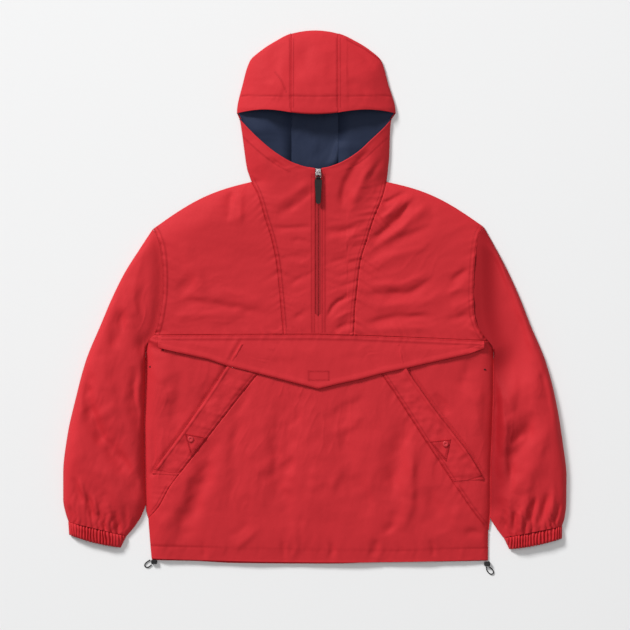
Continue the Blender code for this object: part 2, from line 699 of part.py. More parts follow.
def zip_slider(collection, cutters):
    """A plate on the coil with a bridge that holds the puller's wire."""
    base = slider_base()
    finish = (METAL, 0.25, 1.0)
    centre = (ZIP_X, SLIDER_Y, base + PLATE_HEIGHT / 2)
    size = (SLIDER_WIDTH, SLIDER_LENGTH, PLATE_HEIGHT)
    slider = box("zip_slider", size, centre, finish, collection, bevel=0.8)
    bridge_z = base + PLATE_HEIGHT + BRIDGE_HEIGHT / 2 - 0.4
    block_size = (BRIDGE_WIDTH, BRIDGE_LENGTH, BRIDGE_HEIGHT + 0.8)
    block = box("bridge", block_size, (ZIP_X, HINGE_Y, bridge_z), finish, collection, bevel=0.9)
    opening_size = (BRIDGE_WIDTH + 2, BRIDGE_LENGTH - 2 * BRIDGE_WALL - 1.2, 3.0)
    opening_centre = (ZIP_X, HINGE_Y, base + PLATE_HEIGHT + 0.2 + 1.5)
    opening = box("bridge_opening", opening_size, opening_centre, finish, collection)
    combine(slider, block, "UNION", cutters)
    combine(slider, opening, "DIFFERENCE", cutters)
    return slider


def puller(collection, cutters, hinge):
    """The wire ring through the bridge, and the tab that folds round it."""
    z = hinge_height()
    w, low_y = RING_HALF_WIDTH, HINGE_Y - RING_LENGTH
    corner = 1.2
    ring = []
    for cx, cy, start in (
        (ZIP_X + w - corner, HINGE_Y - corner, 0), (ZIP_X - w + corner, HINGE_Y - corner, 90),
        (ZIP_X - w + corner, low_y + corner, 180), (ZIP_X + w - corner, low_y + corner, 270),
    ):
        for step in range(4):
            angle = math.radians(start + 30 * step)
            ring.append((cx + corner * math.cos(angle), cy + corner * math.sin(angle), z))
    wire = tube("zip_puller", ring, WIRE_RADIUS, (METAL, 0.25, 1.0), collection, closed=True)
    rubber = (BLACK, 0.5)
    barrel = rod("zip_pull_tab", BARREL_RADIUS, BARREL_WIDTH, (ZIP_X, low_y, z), rubber, collection)
    half_top, half_end = TAB_TOP_WIDTH / 2, TAB_END_WIDTH / 2
    top_y = low_y - 1.0
    outline = [(-half_top + 2.4, top_y), (-half_top, top_y - 4), (-half_top, top_y - 10)]
    outline += [(-half_end, TAB_END_Y + 3), (-half_end + 2, TAB_END_Y)]
    outline += [(-x, y) for x, y in outline[::-1]]
    blade_outline = [(ZIP_X + x, y) for x, y in outline]
    low_z = z - BARREL_RADIUS
    blade = prism("tab_blade", blade_outline, low_z, low_z + TAB_THICKNESS, rubber, collection)
    bpy.context.view_layer.update()
    blade = as_mesh(blade)
    combine(barrel, blade, "UNION", cutters)
    hole_centre = (ZIP_X, low_y, z)
    hole = rod("tab_hole", BARREL_HOLE, BARREL_WIDTH + 12, hole_centre, rubber, collection)
    combine(barrel, hole, "DIFFERENCE", cutters)
    bpy.context.view_layer.update()
    for piece in (wire, barrel):
        keep = piece.matrix_world.copy()
        piece.parent = hinge
        piece.matrix_parent_inverse = hinge.matrix_world.inverted()
        piece.matrix_world = keep


def as_mesh(obj):
    """The curve as a closed mesh object in its place."""
    graph = bpy.context.evaluated_depsgraph_get()
    mesh = bpy.data.meshes.new_from_object(obj.evaluated_get(graph))
    bm = bmesh.new()
    bm.from_mesh(mesh)
    bmesh.ops.remove_doubles(bm, verts=bm.verts, dist=1e-6)
    bm.to_mesh(mesh)
    bm.free()
    made = bpy.data.objects.new(obj.name + "_mesh", mesh)
    made.matrix_world = obj.matrix_world
    for collection in obj.users_collection:
        collection.objects.link(made)
    bpy.data.objects.remove(obj)
    return made


def cord_lock(side, collection):
    x, y, turn = LOCKS[side]
    size = (LOCK_LENGTH, LOCK_WIDTH, LOCK_HEIGHT)
    centre = (x, y, LOCK_HEIGHT / 2)
    lock = box(f"cord_lock_{named(side)}", size, centre, (BLACK, 0.4), collection, bevel=1.6)
    lock.rotation_euler.z = math.radians(turn)
    return lock


def smooth_route(points, count=22):
    """A smooth curve through the route's points (Catmull-Rom)."""
    p = np.array(points, float)
    p = np.vstack([2 * p[0] - p[1], p, 2 * p[-1] - p[-2]])
    made = []
    for s in np.linspace(0, len(points) - 1 - 1e-9, count):
        k, f = int(s), s - int(s)
        a, b, c, d = p[k : k + 4]
        square, cube = 2 * a - 5 * b + 4 * c - d, 3 * b - a - 3 * c + d
        made.append(0.5 * (2 * b + (c - a) * f + square * f**2 + cube * f**3))
    return made


def hem_cord(side, collection):
    route = [(x, y, CORD_RADIUS + 0.1) for x, y in smooth_route(CORD_ROUTE[side])]
    return tube(f"hem_cord_{named(side)}", route, CORD_RADIUS, (BLACK, 0.8), collection)


def build():
    for obj in list(bpy.data.objects):
        bpy.data.objects.remove(obj)
    garment = bpy.data.collections.new("anorak_pullover")
    cutters = bpy.data.collections.new("cutters")
    bpy.context.scene.collection.children.link(garment)
    bpy.context.scene.collection.children.link(cutters)

    back_panel(garment)
    lower_center(garment)
    pocket_flap(garment)
    hood_center(garment)
    lining_center(garment)
    for side in (LEFT, RIGHT):
        yoke(side, garment)
        lower_side(side, garment)
        pocket_front(side, garment)
        snap_tab(side, garment)
        snap(side, garment)
        hood_side(side, garment)
        hood_lining(side, garment)
        sleeve(side, garment)
        cuff(side, garment)
        cord_lock(side, garment)
        hem_cord(side, garment)
    zip_tapes(garment)
    zip_coil(garment)
    zip_slider(garment, cutters)
    hinge = bpy.data.objects.new("pull_hinge", None)
    hinge.location = (ZIP_X * MM, HINGE_Y * MM, hinge_height() * MM)
    garment.objects.link(hinge)
    puller(garment, cutters, hinge)


build()
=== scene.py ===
import math

import bmesh
import bpy
import numpy as np
from bpy.props import FloatProperty, FloatVectorProperty, PointerProperty
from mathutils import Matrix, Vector


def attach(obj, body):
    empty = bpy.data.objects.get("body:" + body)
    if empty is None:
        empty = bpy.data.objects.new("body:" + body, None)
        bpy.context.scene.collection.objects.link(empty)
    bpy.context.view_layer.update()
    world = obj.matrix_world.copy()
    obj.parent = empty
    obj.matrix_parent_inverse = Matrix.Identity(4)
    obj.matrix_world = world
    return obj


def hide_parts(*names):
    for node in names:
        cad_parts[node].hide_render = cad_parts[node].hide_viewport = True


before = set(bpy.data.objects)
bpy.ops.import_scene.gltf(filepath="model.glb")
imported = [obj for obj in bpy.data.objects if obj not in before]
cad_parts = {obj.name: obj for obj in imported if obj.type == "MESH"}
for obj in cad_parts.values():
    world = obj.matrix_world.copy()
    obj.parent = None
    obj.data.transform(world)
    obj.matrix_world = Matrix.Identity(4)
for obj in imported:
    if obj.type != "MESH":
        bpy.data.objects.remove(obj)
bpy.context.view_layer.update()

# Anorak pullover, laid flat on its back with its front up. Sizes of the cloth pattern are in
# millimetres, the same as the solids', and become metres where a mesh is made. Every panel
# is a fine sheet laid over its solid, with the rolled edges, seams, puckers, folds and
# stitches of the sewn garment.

bl_info = {
    "name": "Anorak Pullover",
    "version": (1, 0, 0),
    "blender": (4, 5, 0),
    "location": "View3D > Sidebar > Anorak",
    "description": "Builds the cloth, fastenings and stage of a hooded half-zip anorak",
    "category": "Object",
}

MM = 0.001
LEFT, RIGHT = 1, 2  # columns of the tables; left and right as the reader sees them
GARMENT = "garment"  # the body that every new piece moves with

# ---------------------------------------------------------------- pattern

NECK_Y = 211.5
HOOD_SEAM_X = (0, -43.7, 43.0)
ZIP_X, ZIP_SLOT, ZIP_BOTTOM_Y = 6.1, 5.6, -35.0
SIDE_SEAM = (  # y, left x, right x
    (-491, -303.5, 321.6), (-463, -306.0, 321.6), (-426, -309.0, 322.5), (-391, -312.7, 325.5),
    (-333, -315.0, 325.5), (-250, -316.6, 329.0), (-157, -314.5, 331.4), (-90, -314.0, 331.2),
)
HOOD_EDGE = (  # y, left x, right x
    (211.5, -118, 133), (237.5, -126.5, 136), (260, -130, 138), (304.5, -136, 139.5),
    (328, -140, 142), (340, -145, 150), (394, -134, 136), (436, -121, 123.5),
    (458, -97, 100), (475, -70, 72), (486, -48.5, 48.5), (487.2, -44.2, 43.5),
)
PRINCESS = (  # y, left x, right x
    (-72, -58, 72), (-29, -62, 74), (16, -66, 78.5), (61, -71, 84), (105, -80, 97),
    (140, -91, 108), (185, -104.5, 126), (211.5, -118, 133),
)
ARMHOLE = (  # left x, left y, right x, right y, from the shoulder to the underarm
    (-301, 124, 313.4, 128), (-294, 112, 304, 111), (-286.5, 88, 299, 84), (-283, 58, 296, 54),
    (-282, 30, 294.5, 26), (-283, 2, 294, -2), (-287, -28, 295.5, -32), (-292, -52, 303, -58),
    (-298.5, -73, 320, -83), (-306, -82, 326, -90), (-314, -91, 331, -98),
)
CHEST_STATION = 8
SHOULDER_BOW = 14
YOKE_ROW_Y = (-71.5, -29, 16, 61, 105, 140, 163, 185, 211.5)
STRIP_ROWS = (  # outer y, inner y, inner x left and right where it isn't the zip
    (-73.2, -73, 0, 0), (-37, -37, 0, 0), (-35, -35, 0, 0), (-29, -29, 0, 0), (16, 16, 0, 0),
    (61, 61, 0, 0), (105, 105, 0, 0), (140, 140, 0, 0), (185, 187, 0, 0), (211.5, 212, 0, 0),
    (231, 235, 0, 0), (250, 238.5, -17, 25), (270, 246, -40, 46), (290, 266, -74, 79),
    (308, 291, -104, 106), (320, 314, -127, 130),
)
OPENING_CORNER_Y = 328
CROWN_ROWS = (  # y on the fold, y on the seam, bow
    (339, 338, 5.5), (362, 361, 3), (394, 394, 0), (428, 430, 0), (452, 458, 0), (470, 477, 0),
    (483, 485.5, 0), (486.6, 487, 0),
)
DIAGONAL = (  # left x, left y, right x, right y, from the side seam up
    (-309.6, -413.5, 322, -436), (-292, -395, 293, -400), (-269, -354, 262, -355),
    (-239, -315, 236, -316), (-208, -275, 210, -277), (-177, -235, 184, -237),
    (-142, -190, 155, -192), (-108, -147.5, 125, -147.5), (-80, -110, 99, -110),
    (-56, -73.8, 76, -73.8),
)
SIDE_ROW_Y = (-398, -360, -320, -280, -238, -192, -150)
HEM_ROWS = ((-488.5, -491, -6), (-463, -468, -4), (-438, -452, -2))  # left y, right y, bow
MOUTH = (  # left x, left y, right x, right y, from the top down
    (-139, -90, 158, -90), (-161, -127, 167, -127), (-197, -183, 202, -183),
    (-222, -219, 228, -219), (-246.6, -253.5, 255, -253.5), (-276, -293, 285, -293),
    (-303, -330, 314, -341),
)
FLAP_EDGE = (  # x, y
    (-291, -97), (-251, -106.6), (-199, -118), (-164, -130), (-104.5, -145), (-44, -160.5),
    (5.6, -173.5), (40, -165), (81, -156), (126, -144), (171, -134.5), (239, -119),
    (284, -109), (314, -98),
)
CHEST_LINE = ((-300, -73.4), (0, -72.4), (76, -74), (320, -84))  # x, y
TABS = {  # two top corners, the point, the snap
    LEFT: ((-242, -255), (-201, -263), (-229, -300), (-230.5, -266)),
    RIGHT: ((212, -270), (252, -266), (243, -307), (242, -275)),
}
POCKET_BOTTOM = {  # stitched across the lower end of each pocket: x, y
    LEFT: ((-300, -322), (-272, -329), (-250, -330)),
    RIGHT: ((312, -334), (290, -341), (268, -350)),
}
CLOSURE_BOX = ((-11, -140.5), (25, -140.5), (25, -156.5), (-11, -156.5), (-11, -140.5))  # x, y
EYELETS = ((-282, -100), (-306, -132), (315, -137))  # x, y
EYELET_RADIUS, EYELET_STITCHES = 1.9, 14
DARTS = (((-74, 414), (-62, 398), (-53, 376)), ((59, 475), (92, 458), (124, 436)))
HEM_STITCH = ((-306, -463), (-150, -469), (0, -471.5), (160, -472), (322, -468.5))
LINING_SEAMS = (((-50, 338), (-50, 310), (-51, 276)), ((86, 324), (80, 296), (72, 262)))
BRIM_TURN = ((0.5, -1.0), (2.2, -2.0), (5.0, -2.4))  # of the brim's edge under itself: y and height
BRIM_Y, BRIM_BAND = 338, 31  # the brim's edge, and up from it to the band's stitches
CASING = 18  # width of the turned cloth round the face opening
POCKET_LIFT = 1.7  # of a pocket's front over the panels
GAP = 0.06  # between neighbouring panels
GATHER_PITCH = 5.6  # of the cuffs' pleats
FOLD_GAIN = 1.6  # all the heights of the folds below are multiplied by this
SLEEVE = {  # outer y and x, inner y and x, bow to the body, height
    LEFT: (
        (88, -325, -112, -316.5, 17, 17), (42, -354, -140, -316.6, 11, 16), (-2, -376, -172, -317, 8, 19),
        (-56, -399, -206, -317.7, 6, 21), (-120, -425.5, -252, -318.4, 4, 23),
        (-190, -444.5, -302, -317.4, 3, 24), (-262, -460.5, -347, -316.2, 2, 24),
        (-330, -468, -384, -315.2, 0, 22), (-378, -468, -406, -321, 0, 20),
        (-405, -463, -428, -334.5, 0, 17), (-420, -458, -446.5, -350, 0, 14),
    ),
    RIGHT: (
        (90, 335, -118, 334.4, 12, 17), (44, 359, -146, 334.2, 10, 15), (0, 379, -178, 333.6, 9, 17),
        (-56, 401, -212, 333, 6, 20), (-122, 428.5, -258, 331.6, 4, 22),
        (-194, 447.5, -308, 329.5, 3, 24), (-270, 460, -352, 328, 2, 24),
        (-337, 467.5, -388, 327.8, 0, 22), (-385, 467, -410, 329.5, 0, 20),
        (-412, 464, -432, 337, 0, 17), (-428, 459, -450, 350.5, 0, 14),
    ),
}
# painted shade: the right sleeve is darkened along this line and the armhole, as the body's edge would
# shadow it
PAINTED_SHADOW_VALLEY = ((334, -160), (337, -260), (336, -380))  # x, y where the right sleeve meets the body
SLEEVE_POINTS = (0, 0.05, 0.15, 0.26, 0.38, 0.5, 0.61, 0.71, 0.8, 0.88, 1)
CUFF = {  # outer and inner ends of the top edge, then of the bottom edge
    LEFT: ((-458.5, -421.5), (-350.5, -448.5), (-457, -444), (-361, -468)),
    RIGHT: ((459.5, -429.5), (351, -452), (459, -451), (361, -471)),
}
LOFT = (  # y, height on the outline, loft inside it, distance over which it rises
    (-491, 2.4, 6.5, 9), (-440, 2.4, 10.5, 10), (-330, 2.4, 12.5, 11), (-90, 2.4, 13.5, 12),
    (60, 2.6, 14.4, 18), (150, 3.0, 17.0, 22), (211.5, 4.2, 20, 24), (237, 5.4, 20.6, 24),
    (300, 6.0, 23, 34), (340, 6.0, 34, 42), (394, 6.0, 31, 40), (440, 6.0, 23, 34),
    (493, 5.0, 18, 26),
)
CROWN_TOP_Y, CROWN_SIDE_Y = 493, 487
SLEEVE_WIDTH, ARMHOLE_HEIGHT, SLEEVE_CLEARANCE = 150, 17, 1.3
SLEEVE_EDGE = 3.6  # height of a sleeve's own fold
FOLD_Z = 3.4  # height of the outermost line of the hood's folds
LINING_INSET, LINING_NARROWER = 1.8, 3.2

# Folds of the front: the line they follow, half width, height (below 0 it is a trough).
FOLDS = (
    # left yoke and strip
    (((-264, -20), (-221, -12), (-158, -20), (-78, -39)), 9, -1.8),
    (((-250, 6), (-180, 4), (-95, -12)), 14, 1.2),
    (((-262, -44), (-230, -36), (-170, -38)), 9, 1.1),
    (((-154, 205), (-158, 176), (-164, 140)), 9, -2.2),
    (((-135, 196), (-136, 168), (-142, 130)), 10, 1.3),
    (((-222, 40), (-240, 12), (-252, -6)), 10, -1.4),
    (((-226, 62), (-214, 30), (-206, 4)), 12, 1.3),
    (((-250, 96), (-236, 70), (-226, 40)), 14, 0.8),
    (((4, 200), (-30, 172), (-70, 146)), 7, -1.6),
    (((-2, 216), (-40, 186), (-84, 166)), 9, 1.2),
    (((-84, 126), (-45, 125), (-4, 128)), 6, -1.2),
    (((-50, 22), (-25, 34), (-4, 44)), 6, -1.1),
    (((-46, 98), (-28, 104), (-6, 96)), 6, -0.8),
    (((-58, 66), (-30, 60), (-4, 66)), 7, 0.8),
    (((-40, -44), (-22, -30), (-6, -26)), 6, -0.9),
    # right yoke and strip
    (((100, 102), (128, 118), (152, 141), (190, 186)), 7.5, -3.0),
    (((110, 96), (150, 116), (182, 146), (214, 172)), 10, 2.0),
    (((124, 170), (150, 182), (178, 197)), 6, -2.6),
    (((116, 136), (140, 156), (164, 182)), 7, 1.8),
    (((96, 70), (132, 94), (176, 112), (222, 130)), 9, -1.5),
    (((96, 52), (150, 74), (214, 92)), 11, 1.2),
    (((94, 2), (140, 2), (180, 8), (222, 36)), 7.5, -2.3),
    (((92, 22), (150, 20), (212, 44)), 9, 1.4),
    (((92, -16), (150, -18), (214, -8), (246, 16)), 9, 1.3),
    (((90, -52), (128, -44), (162, -38), (222, -40)), 7, -2.1),
    (((96, -62), (150, -60), (230, -58)), 8, 1.0),
    (((250, 24), (268, 38), (282, 52)), 7, -1.8),
    (((244, 4), (266, 12), (284, 24)), 8, 1.2),
    (((246, -46), (266, -38), (288, -36)), 7, -1.6),
    (((252, -22), (270, -18), (288, -12)), 8, 1.1),
    (((200, 186), (214, 160), (222, 128)), 16, -0.9),
    (((50, 160), (54, 186), (60, 214), (80, 248), (100, 268)), 8.5, -3.4),
    (((70, 150), (78, 186), (90, 216), (112, 250)), 12, 2.4),
    (((94, 208), (110, 232), (128, 256)), 8, -1.8),
    (((18, 118), (60, 124), (100, 138)), 6.5, -1.9),
    (((20, 104), (60, 108), (92, 120)), 8, 1.2),
    (((20, -42), (40, -14), (68, 0)), 6, -2.0),
    (((30, -52), (52, -36), (72, -28)), 6, 1.2),
    (((38, -62), (56, -52), (70, -46)), 5, -1.4),
    (((28, 60), (50, 66), (78, 60)), 7, -0.9),
    (((20, 36), (46, 30), (76, 40)), 7, 0.8),
    # under the arms
    (((-318, -60), (-304, -70), (-286, -66)), 4.5, -2.0),
    (((-322, -78), (-306, -84), (-284, -88)), 4, 1.8),
    (((-316, -98), (-300, -96), (-274, -108)), 5, -2.0),
    (((300, -52), (314, -66), (326, -84)), 5, -2.0),
    (((284, -60), (300, -70), (318, -90)), 5, 1.8),
    (((280, -96), (300, -98), (326, -108)), 5, -1.8),
    # lower front
    (((-262, -176), (-256, -220), (-268, -262)), 16, -1.6),
    (((66, -210), (58, -300), (64, -400)), 20, -1.7),
    (((-70, -220), (-74, -300), (-82, -380)), 15, -1.2),
    (((-210, -458), (-206, -470), (-205, -486)), 5, -1.2),
    (((-60, -456), (-57, -470), (-58, -488)), 5, -1.2),
    (((30, -458), (34, -472), (33, -488)), 5, -1.1),
    (((214, -452), (220, -468), (221, -486)), 5, -1.3),
    (((-190, -262), (-204, -330), (-228, -400), (-252, -462)), 19, -3.4),
    (((-214, -290), (-240, -352), (-268, -412), (-292, -466)), 20, 2.4),
    (((-34, -180), (-40, -240), (-58, -330), (-56, -430)), 22, -2.8),
    (((-8, -200), (-2, -300), (-14, -420)), 30, 1.8),
    (((-92, -210), (-98, -300), (-112, -410)), 26, 2.0),
    (((-134, -226), (-146, -262), (-150, -320)), 12, -1.6),
    (((-158, -262), (-170, -320), (-172, -400)), 16, 1.5),
    (((-120, -160), (-130, -196), (-152, -232)), 9, -1.2),
    (((-124, -420), (-140, -438), (-162, -446)), 9, -0.8),
    (((-100, -430), (-126, -452), (-150, -470)), 9, 1.2),
    (((14, -240), (40, -216), (66, -204), (98, -186)), 13, -1.4),
    (((30, -256), (60, -240), (96, -222)), 14, 1.5),
    (((168, -226), (156, -300), (136, -380)), 15, -3.2),
    (((182, -270), (178, -350), (166, -440)), 16, 3.2),
    (((120, -250), (112, -320), (98, -380)), 22, 1.4),
    (((74, -330), (88, -370), (100, -410)), 16, -1.6),
    (((218, -352), (224, -400), (238, -440)), 18, -2.0),
    (((262, -388), (270, -420), (286, -444)), 14, 1.6),
    (((150, -398), (146, -424), (126, -440)), 9, -1.7),
    (((116, -452), (112, -470), (108, -486)), 6, -1.6),
    (((34, -270), (36, -340), (28, -420)), 24, 1.3),
    (((276, -440), (296, -438), (314, -444)), 8, -1.6),
    # side panels
    (((-184, -152), (-206, -188), (-226, -214)), 14, -2.6),
    (((-286, -120), (-276, -170), (-262, -220)), 26, 2.2),
    (((-302, -236), (-298, -290), (-306, -330)), 12, -1.2),
    (((222, -180), (236, -200), (246, -222)), 10, -2.0),
    (((296, -118), (280, -150), (268, -176)), 14, -1.6),
    (((302, -160), (300, -210), (306, -260)), 14, 1.6),
    # hood
    (((-10, 470), (-28, 430), (-36, 396)), 20, -1.5),
    (((-62, 470), (-74, 430), (-86, 392)), 16, -1.1),
    (((24, 462), (12, 420), (4, 384)), 18, 1.1),
    (((66, 470), (92, 446), (112, 420)), 10, -1.0),
    (((-84, 400), (-74, 384), (-58, 376)), 10, 0.9),
    (((60, 400), (80, 388), (104, 384)), 10, -0.9),
    (((-80, 250), (-70, 244), (-58, 236)), 5, -1.2),
    (((-116, 284), (-98, 262), (-84, 236)), 12, 1.1),
    (((-112, 236), (-104, 224), (-98, 206)), 10, -1.0),
)
FLAP_FOLDS = (
    (((-133, -80), (-144, -94), (-158, -118)), 6, -1.0),
    (((-140, -78), (-152, -96), (-166, -122)), 5, 1.6),
    (((152, -78), (160, -100), (170, -128)), 6, 1.0),
    (((-60, -96), (-20, -104), (20, -100)), 12, 0.7),
    (((40, -120), (70, -112), (100, -118)), 10, -0.7),
    (((-90, -120), (-60, -128), (-30, -122)), 10, -0.7),
    (((96, -92), (110, -106), (122, -128)), 12, -0.8),
    (((200, -96), (220, -104), (250, -102)), 10, 0.6),
    (((-220, -90), (-200, -98), (-176, -100)), 10, 0.6),
)
LINING_FOLDS = (
    (((-92, 346), (-86, 312), (-74, 276)), 7, 4.2),
    (((-78, 350), (-70, 316), (-60, 284)), 8, -1.0),
    (((30, 236), (40, 262), (50, 292)), 8, 3.4),
    (((88, 344), (98, 316), (104, 290)), 10, 3.0),
    (((-20, 330), (-10, 300), (4, 262)), 14, 1.6),
    (((-116, 336), (-112, 316), (-104, 300)), 8, 2.6),
    (((60, 330), (66, 306), (64, 280)), 10, 1.8),
)
SLEEVE_FOLDS = {
    LEFT: (
        (((-356, -20), (-360, -60), (-372, -100)), 13, -3.4),
        (((-334, 34), (-338, -10), (-330, -60)), 14, 2.4),
        (((-418, -128), (-421, -163), (-396, -256), (-352, -316), (-326, -376)), 15, -5.2),
        (((-396, -110), (-386, -190), (-356, -262)), 22, 2.8),
        (((-444, -250), (-430, -310), (-396, -372)), 20, 2.2),
        (((-404, -300), (-376, -352), (-352, -392)), 14, 2.0),
        (((-378, 6), (-392, -40), (-410, -86)), 10, 1.4),
        (((-336, -130), (-334, -190), (-330, -250)), 9, -3.2),
        (((-446, -336), (-438, -362), (-430, -386)), 6, -2.6),
        (((-436, -340), (-428, -366), (-420, -394)), 7, 1.8),
        (((-426, -364), (-416, -392), (-405, -420)), 6, -3.0),
        (((-412, -366), (-404, -394), (-398, -422)), 6, 1.8),
        (((-371, -398), (-366, -418), (-359, -440)), 6, -3.0),
        (((-384, -384), (-380, -408), (-374, -434)), 6, 1.8),
        (((-457, -388), (-450, -408), (-443, -428)), 5, -2.4),
        (((-402, -400), (-396, -416), (-390, -432)), 4.5, -2.4),
        (((-352, -392), (-350, -414), (-346, -434)), 6, -2.0),
    ),
    RIGHT: (
        (((404, -214), (392, -256), (368, -306), (356, -376)), 15, -5.0),
        (((372, -110), (362, -190), (352, -300)), 16, 3.4),
        (((430, -240), (408, -310), (384, -372)), 18, 2.8),
        (((352, 20), (366, -30), (392, -90)), 13, -2.6),
        (((342, 60), (352, 30), (356, -10)), 10, 2.2),
        (((414, -120), (428, -180), (436, -240)), 16, -2.6),
        (((388, -70), (400, -130), (412, -190)), 14, 1.8),
        (((340, -140), (338, -220), (336, -300)), 7, -2.4),
        (((408, -372), (404, -396), (399, -422)), 6, -3.0),
        (((396, -366), (392, -394), (388, -424)), 7, 2.0),
        (((433, -366), (426, -394), (417, -426)), 6, -2.8),
        (((444, -360), (440, -390), (434, -420)), 6, 1.8),
        (((370, -398), (370, -418), (369, -440)), 6, -3.0),
        (((382, -390), (382, -412), (380, -438)), 6, 2.0),
        (((456, -384), (450, -404), (444, -424)), 5, -2.2),
        (((352, -396), (353, -418), (354, -440)), 5, -2.0),
    ),
}

# ---------------------------------------------------------------- curves and noise

LATTICE = np.random.default_rng(11).uniform(-1, 1, (61, 61))
EDGE_STEPS = np.array((0, 0.7, 1.4, 2.1, 2.8, 3.8, 5.2, 6.4, 7.4, 9.2, 12))


def named(side):
    """Word for a side, as in the pieces' names."""
    return "left" if side == LEFT else "right"


def sign(side):
    """Way in which x grows out from the middle."""
    return -1 if side == LEFT else 1


def pair(table, side):
    """The x and y columns of one side of a table of both sides."""
    first = 0 if side == LEFT else 2
    return np.array([(row[first], row[first + 1]) for row in table], float)


def lengths(points):
    """Length along a line at each of its points."""
    each = np.linalg.norm(np.diff(np.asarray(points, float), axis=0), axis=1)
    return np.concatenate([[0], np.cumsum(each)])


def smooth(known, values, at):
    """Values at new places on a smooth curve that overshoots none of the known ones."""
    known, values, at = np.array(known, float), np.array(values, float), np.asarray(at, float)
    flat = values.ndim == 1
    values = values.reshape(len(known), -1)
    step = np.diff(known)
    slope = np.diff(values, axis=0) / step[:, None]
    product = slope[:-1] * slope[1:]
    total = slope[:-1] + slope[1:]
    inner = np.where(product > 0, 2 * product / np.where(np.abs(total) < 1e-12, 1, total), 0)
    tangent = np.vstack([slope[:1], inner, slope[-1:]])
    k = np.clip(np.searchsorted(known, at, side="right") - 1, 0, len(step) - 1)
    h = step[k][:, None]
    t = np.clip((at - known[k]) / step[k], 0, 1)[:, None]
    made = (
        values[k] * (2 * t**3 - 3 * t**2 + 1) + values[k + 1] * (3 * t**2 - 2 * t**3)
        + tangent[k] * h * (t**3 - 2 * t**2 + t) + tangent[k + 1] * h * (t**3 - t**2)
    )
    return made[:, 0] if flat else made


def read(table, column, at):
    """A column of a table at values of its first column."""
    table = np.array(sorted(table), float)
    at = np.asarray(at, float)
    return smooth(table[:, 0], table[:, column], at.ravel()).reshape(at.shape)


def trace(points, spacing):
    """A smooth line through points, with a point at every spacing or so."""
    points = np.array(points, float)
    along = lengths(points)
    count = max(2, round(along[-1] / spacing) + 1)
    return smooth(along, points, np.linspace(0, along[-1], count))


def steps(low, high, spacing):
    """Places from low to high, closer together at both ends."""
    whole = abs(high - low)
    edge = EDGE_STEPS * min(1, whole / (3 * EDGE_STEPS[-1]))
    count = max(2, round((whole - 2 * edge[-1]) / spacing) + 1)
    middle = np.linspace(edge[-1], whole - edge[-1], count)[1:-1]
    return low + np.sign(high - low) * np.concatenate([edge, middle, whole - edge[::-1]])


def shares(widths, spacing):
    """Shares across rows of these widths, closer together at both ends."""
    widest = steps(0, float(np.max(widths)), spacing)
    edge = len(EDGE_STEPS)
    made = []
    for width in np.maximum(widths, 1e-3):
        reach = EDGE_STEPS * min(1, width / (3 * EDGE_STEPS[-1]))
        middle = np.linspace(reach[-1], width - reach[-1], len(widest) - 2 * edge + 2)[1:-1]
        made.append(np.concatenate([reach, middle, width - reach[::-1]]) / width)
    return np.array(made)


def noise(x, y, size, seed=0):
    """Smooth lumps of about that size, between -1 and 1."""
    u = (0.83 * x + 0.56 * y) / size + 13.7 * seed
    v = (0.83 * y - 0.56 * x) / size + 7.3 * seed
    i, j = np.floor(u).astype(int), np.floor(v).astype(int)
    f, g = u - i, v - j
    f, g = f**3 * (f * (6 * f - 15) + 10), g**3 * (g * (6 * g - 15) + 10)
    n = len(LATTICE)
    low = LATTICE[i % n, j % n] * (1 - f) + LATTICE[(i + 1) % n, j % n] * f
    high = LATTICE[i % n, (j + 1) % n] * (1 - f) + LATTICE[(i + 1) % n, (j + 1) % n] * f
    return low * (1 - g) + high * g


def ramp(value, low, high):
    """0 below low, 1 above high, and smooth between."""
    t = np.clip((value - low) / (high - low), 0, 1)
    return t * t * (3 - 2 * t)


def bell(off, width):
    """1 on a line, and down to nothing at about twice the width away."""
    return np.exp(-((off / width) ** 2))


def nearest(x, y, line):
    """Distance from a line (to the right of its direction above 0) and length along it."""
    x, y = np.asarray(x, float), np.asarray(y, float)
    line = np.asarray(line, float)
    a, b = line[:-1], line[1:]
    run = b - a
    size = np.linalg.norm(run, axis=1)
    starts = lengths(line)[:-1]
    best = np.full(x.shape, 1e9)
    along, side = np.zeros(x.shape), np.ones(x.shape)
    for k in range(len(a)):
        px, py = x - a[k, 0], y - a[k, 1]
        t = np.clip((px * run[k, 0] + py * run[k, 1]) / size[k] ** 2, 0, 1)
        off = np.hypot(px - t * run[k, 0], py - t * run[k, 1])
        nearer = off < best
        best = np.where(nearer, off, best)
        along = np.where(nearer, starts[k] + t * size[k], along)
        side = np.where(nearer, np.sign(px * run[k, 1] - py * run[k, 0] + 1e-12), side)
    return best * side, along


def close_to(x, y, line, reach):
    """Which points are in the box round a line that is wider by a reach."""
    low, high = line.min(0) - reach, line.max(0) + reach
    return (x > low[0]) & (x < high[0]) & (y > low[1]) & (y < high[1])


# ---------------------------------------------------------------- outline, seams and height


def shoulder(side, count=30):
    """The shoulder line from the tip to the neck."""
    tip = pair(ARMHOLE, side)[0]
    neck = np.array((HOOD_EDGE[0][side], NECK_Y))
    s = np.linspace(0, 1, count)[:, None]
    return tip + (neck - tip) * s + np.array((0, SHOULDER_BOW)) * np.sin(math.pi * s)


def outline():
    """Lines round the body and hood, without the sleeves."""
    lines = []
    for side in (LEFT, RIGHT):
        lines.append(trace([(row[side], row[0]) for row in SIDE_SEAM], 30))
        lines.append(shoulder(side, 12))
        hood = [(row[side], row[0]) for row in HOOD_EDGE] + [(sign(side) * 20, 491.6), (0, CROWN_TOP_Y)]
        lines.append(trace(hood, 14))
    return lines


def armhole(side):
    """From the underarm up to the shoulder."""
    return trace(pair(ARMHOLE, side)[::-1], 8)


def princess(side):
    """Seam from the chest up to the neck."""
    return trace([(row[side], row[0]) for row in PRINCESS], 12)


def diagonal(side):
    """Seam from the side of the hem up to the chest."""
    return trace(pair(DIAGONAL, side), 14)


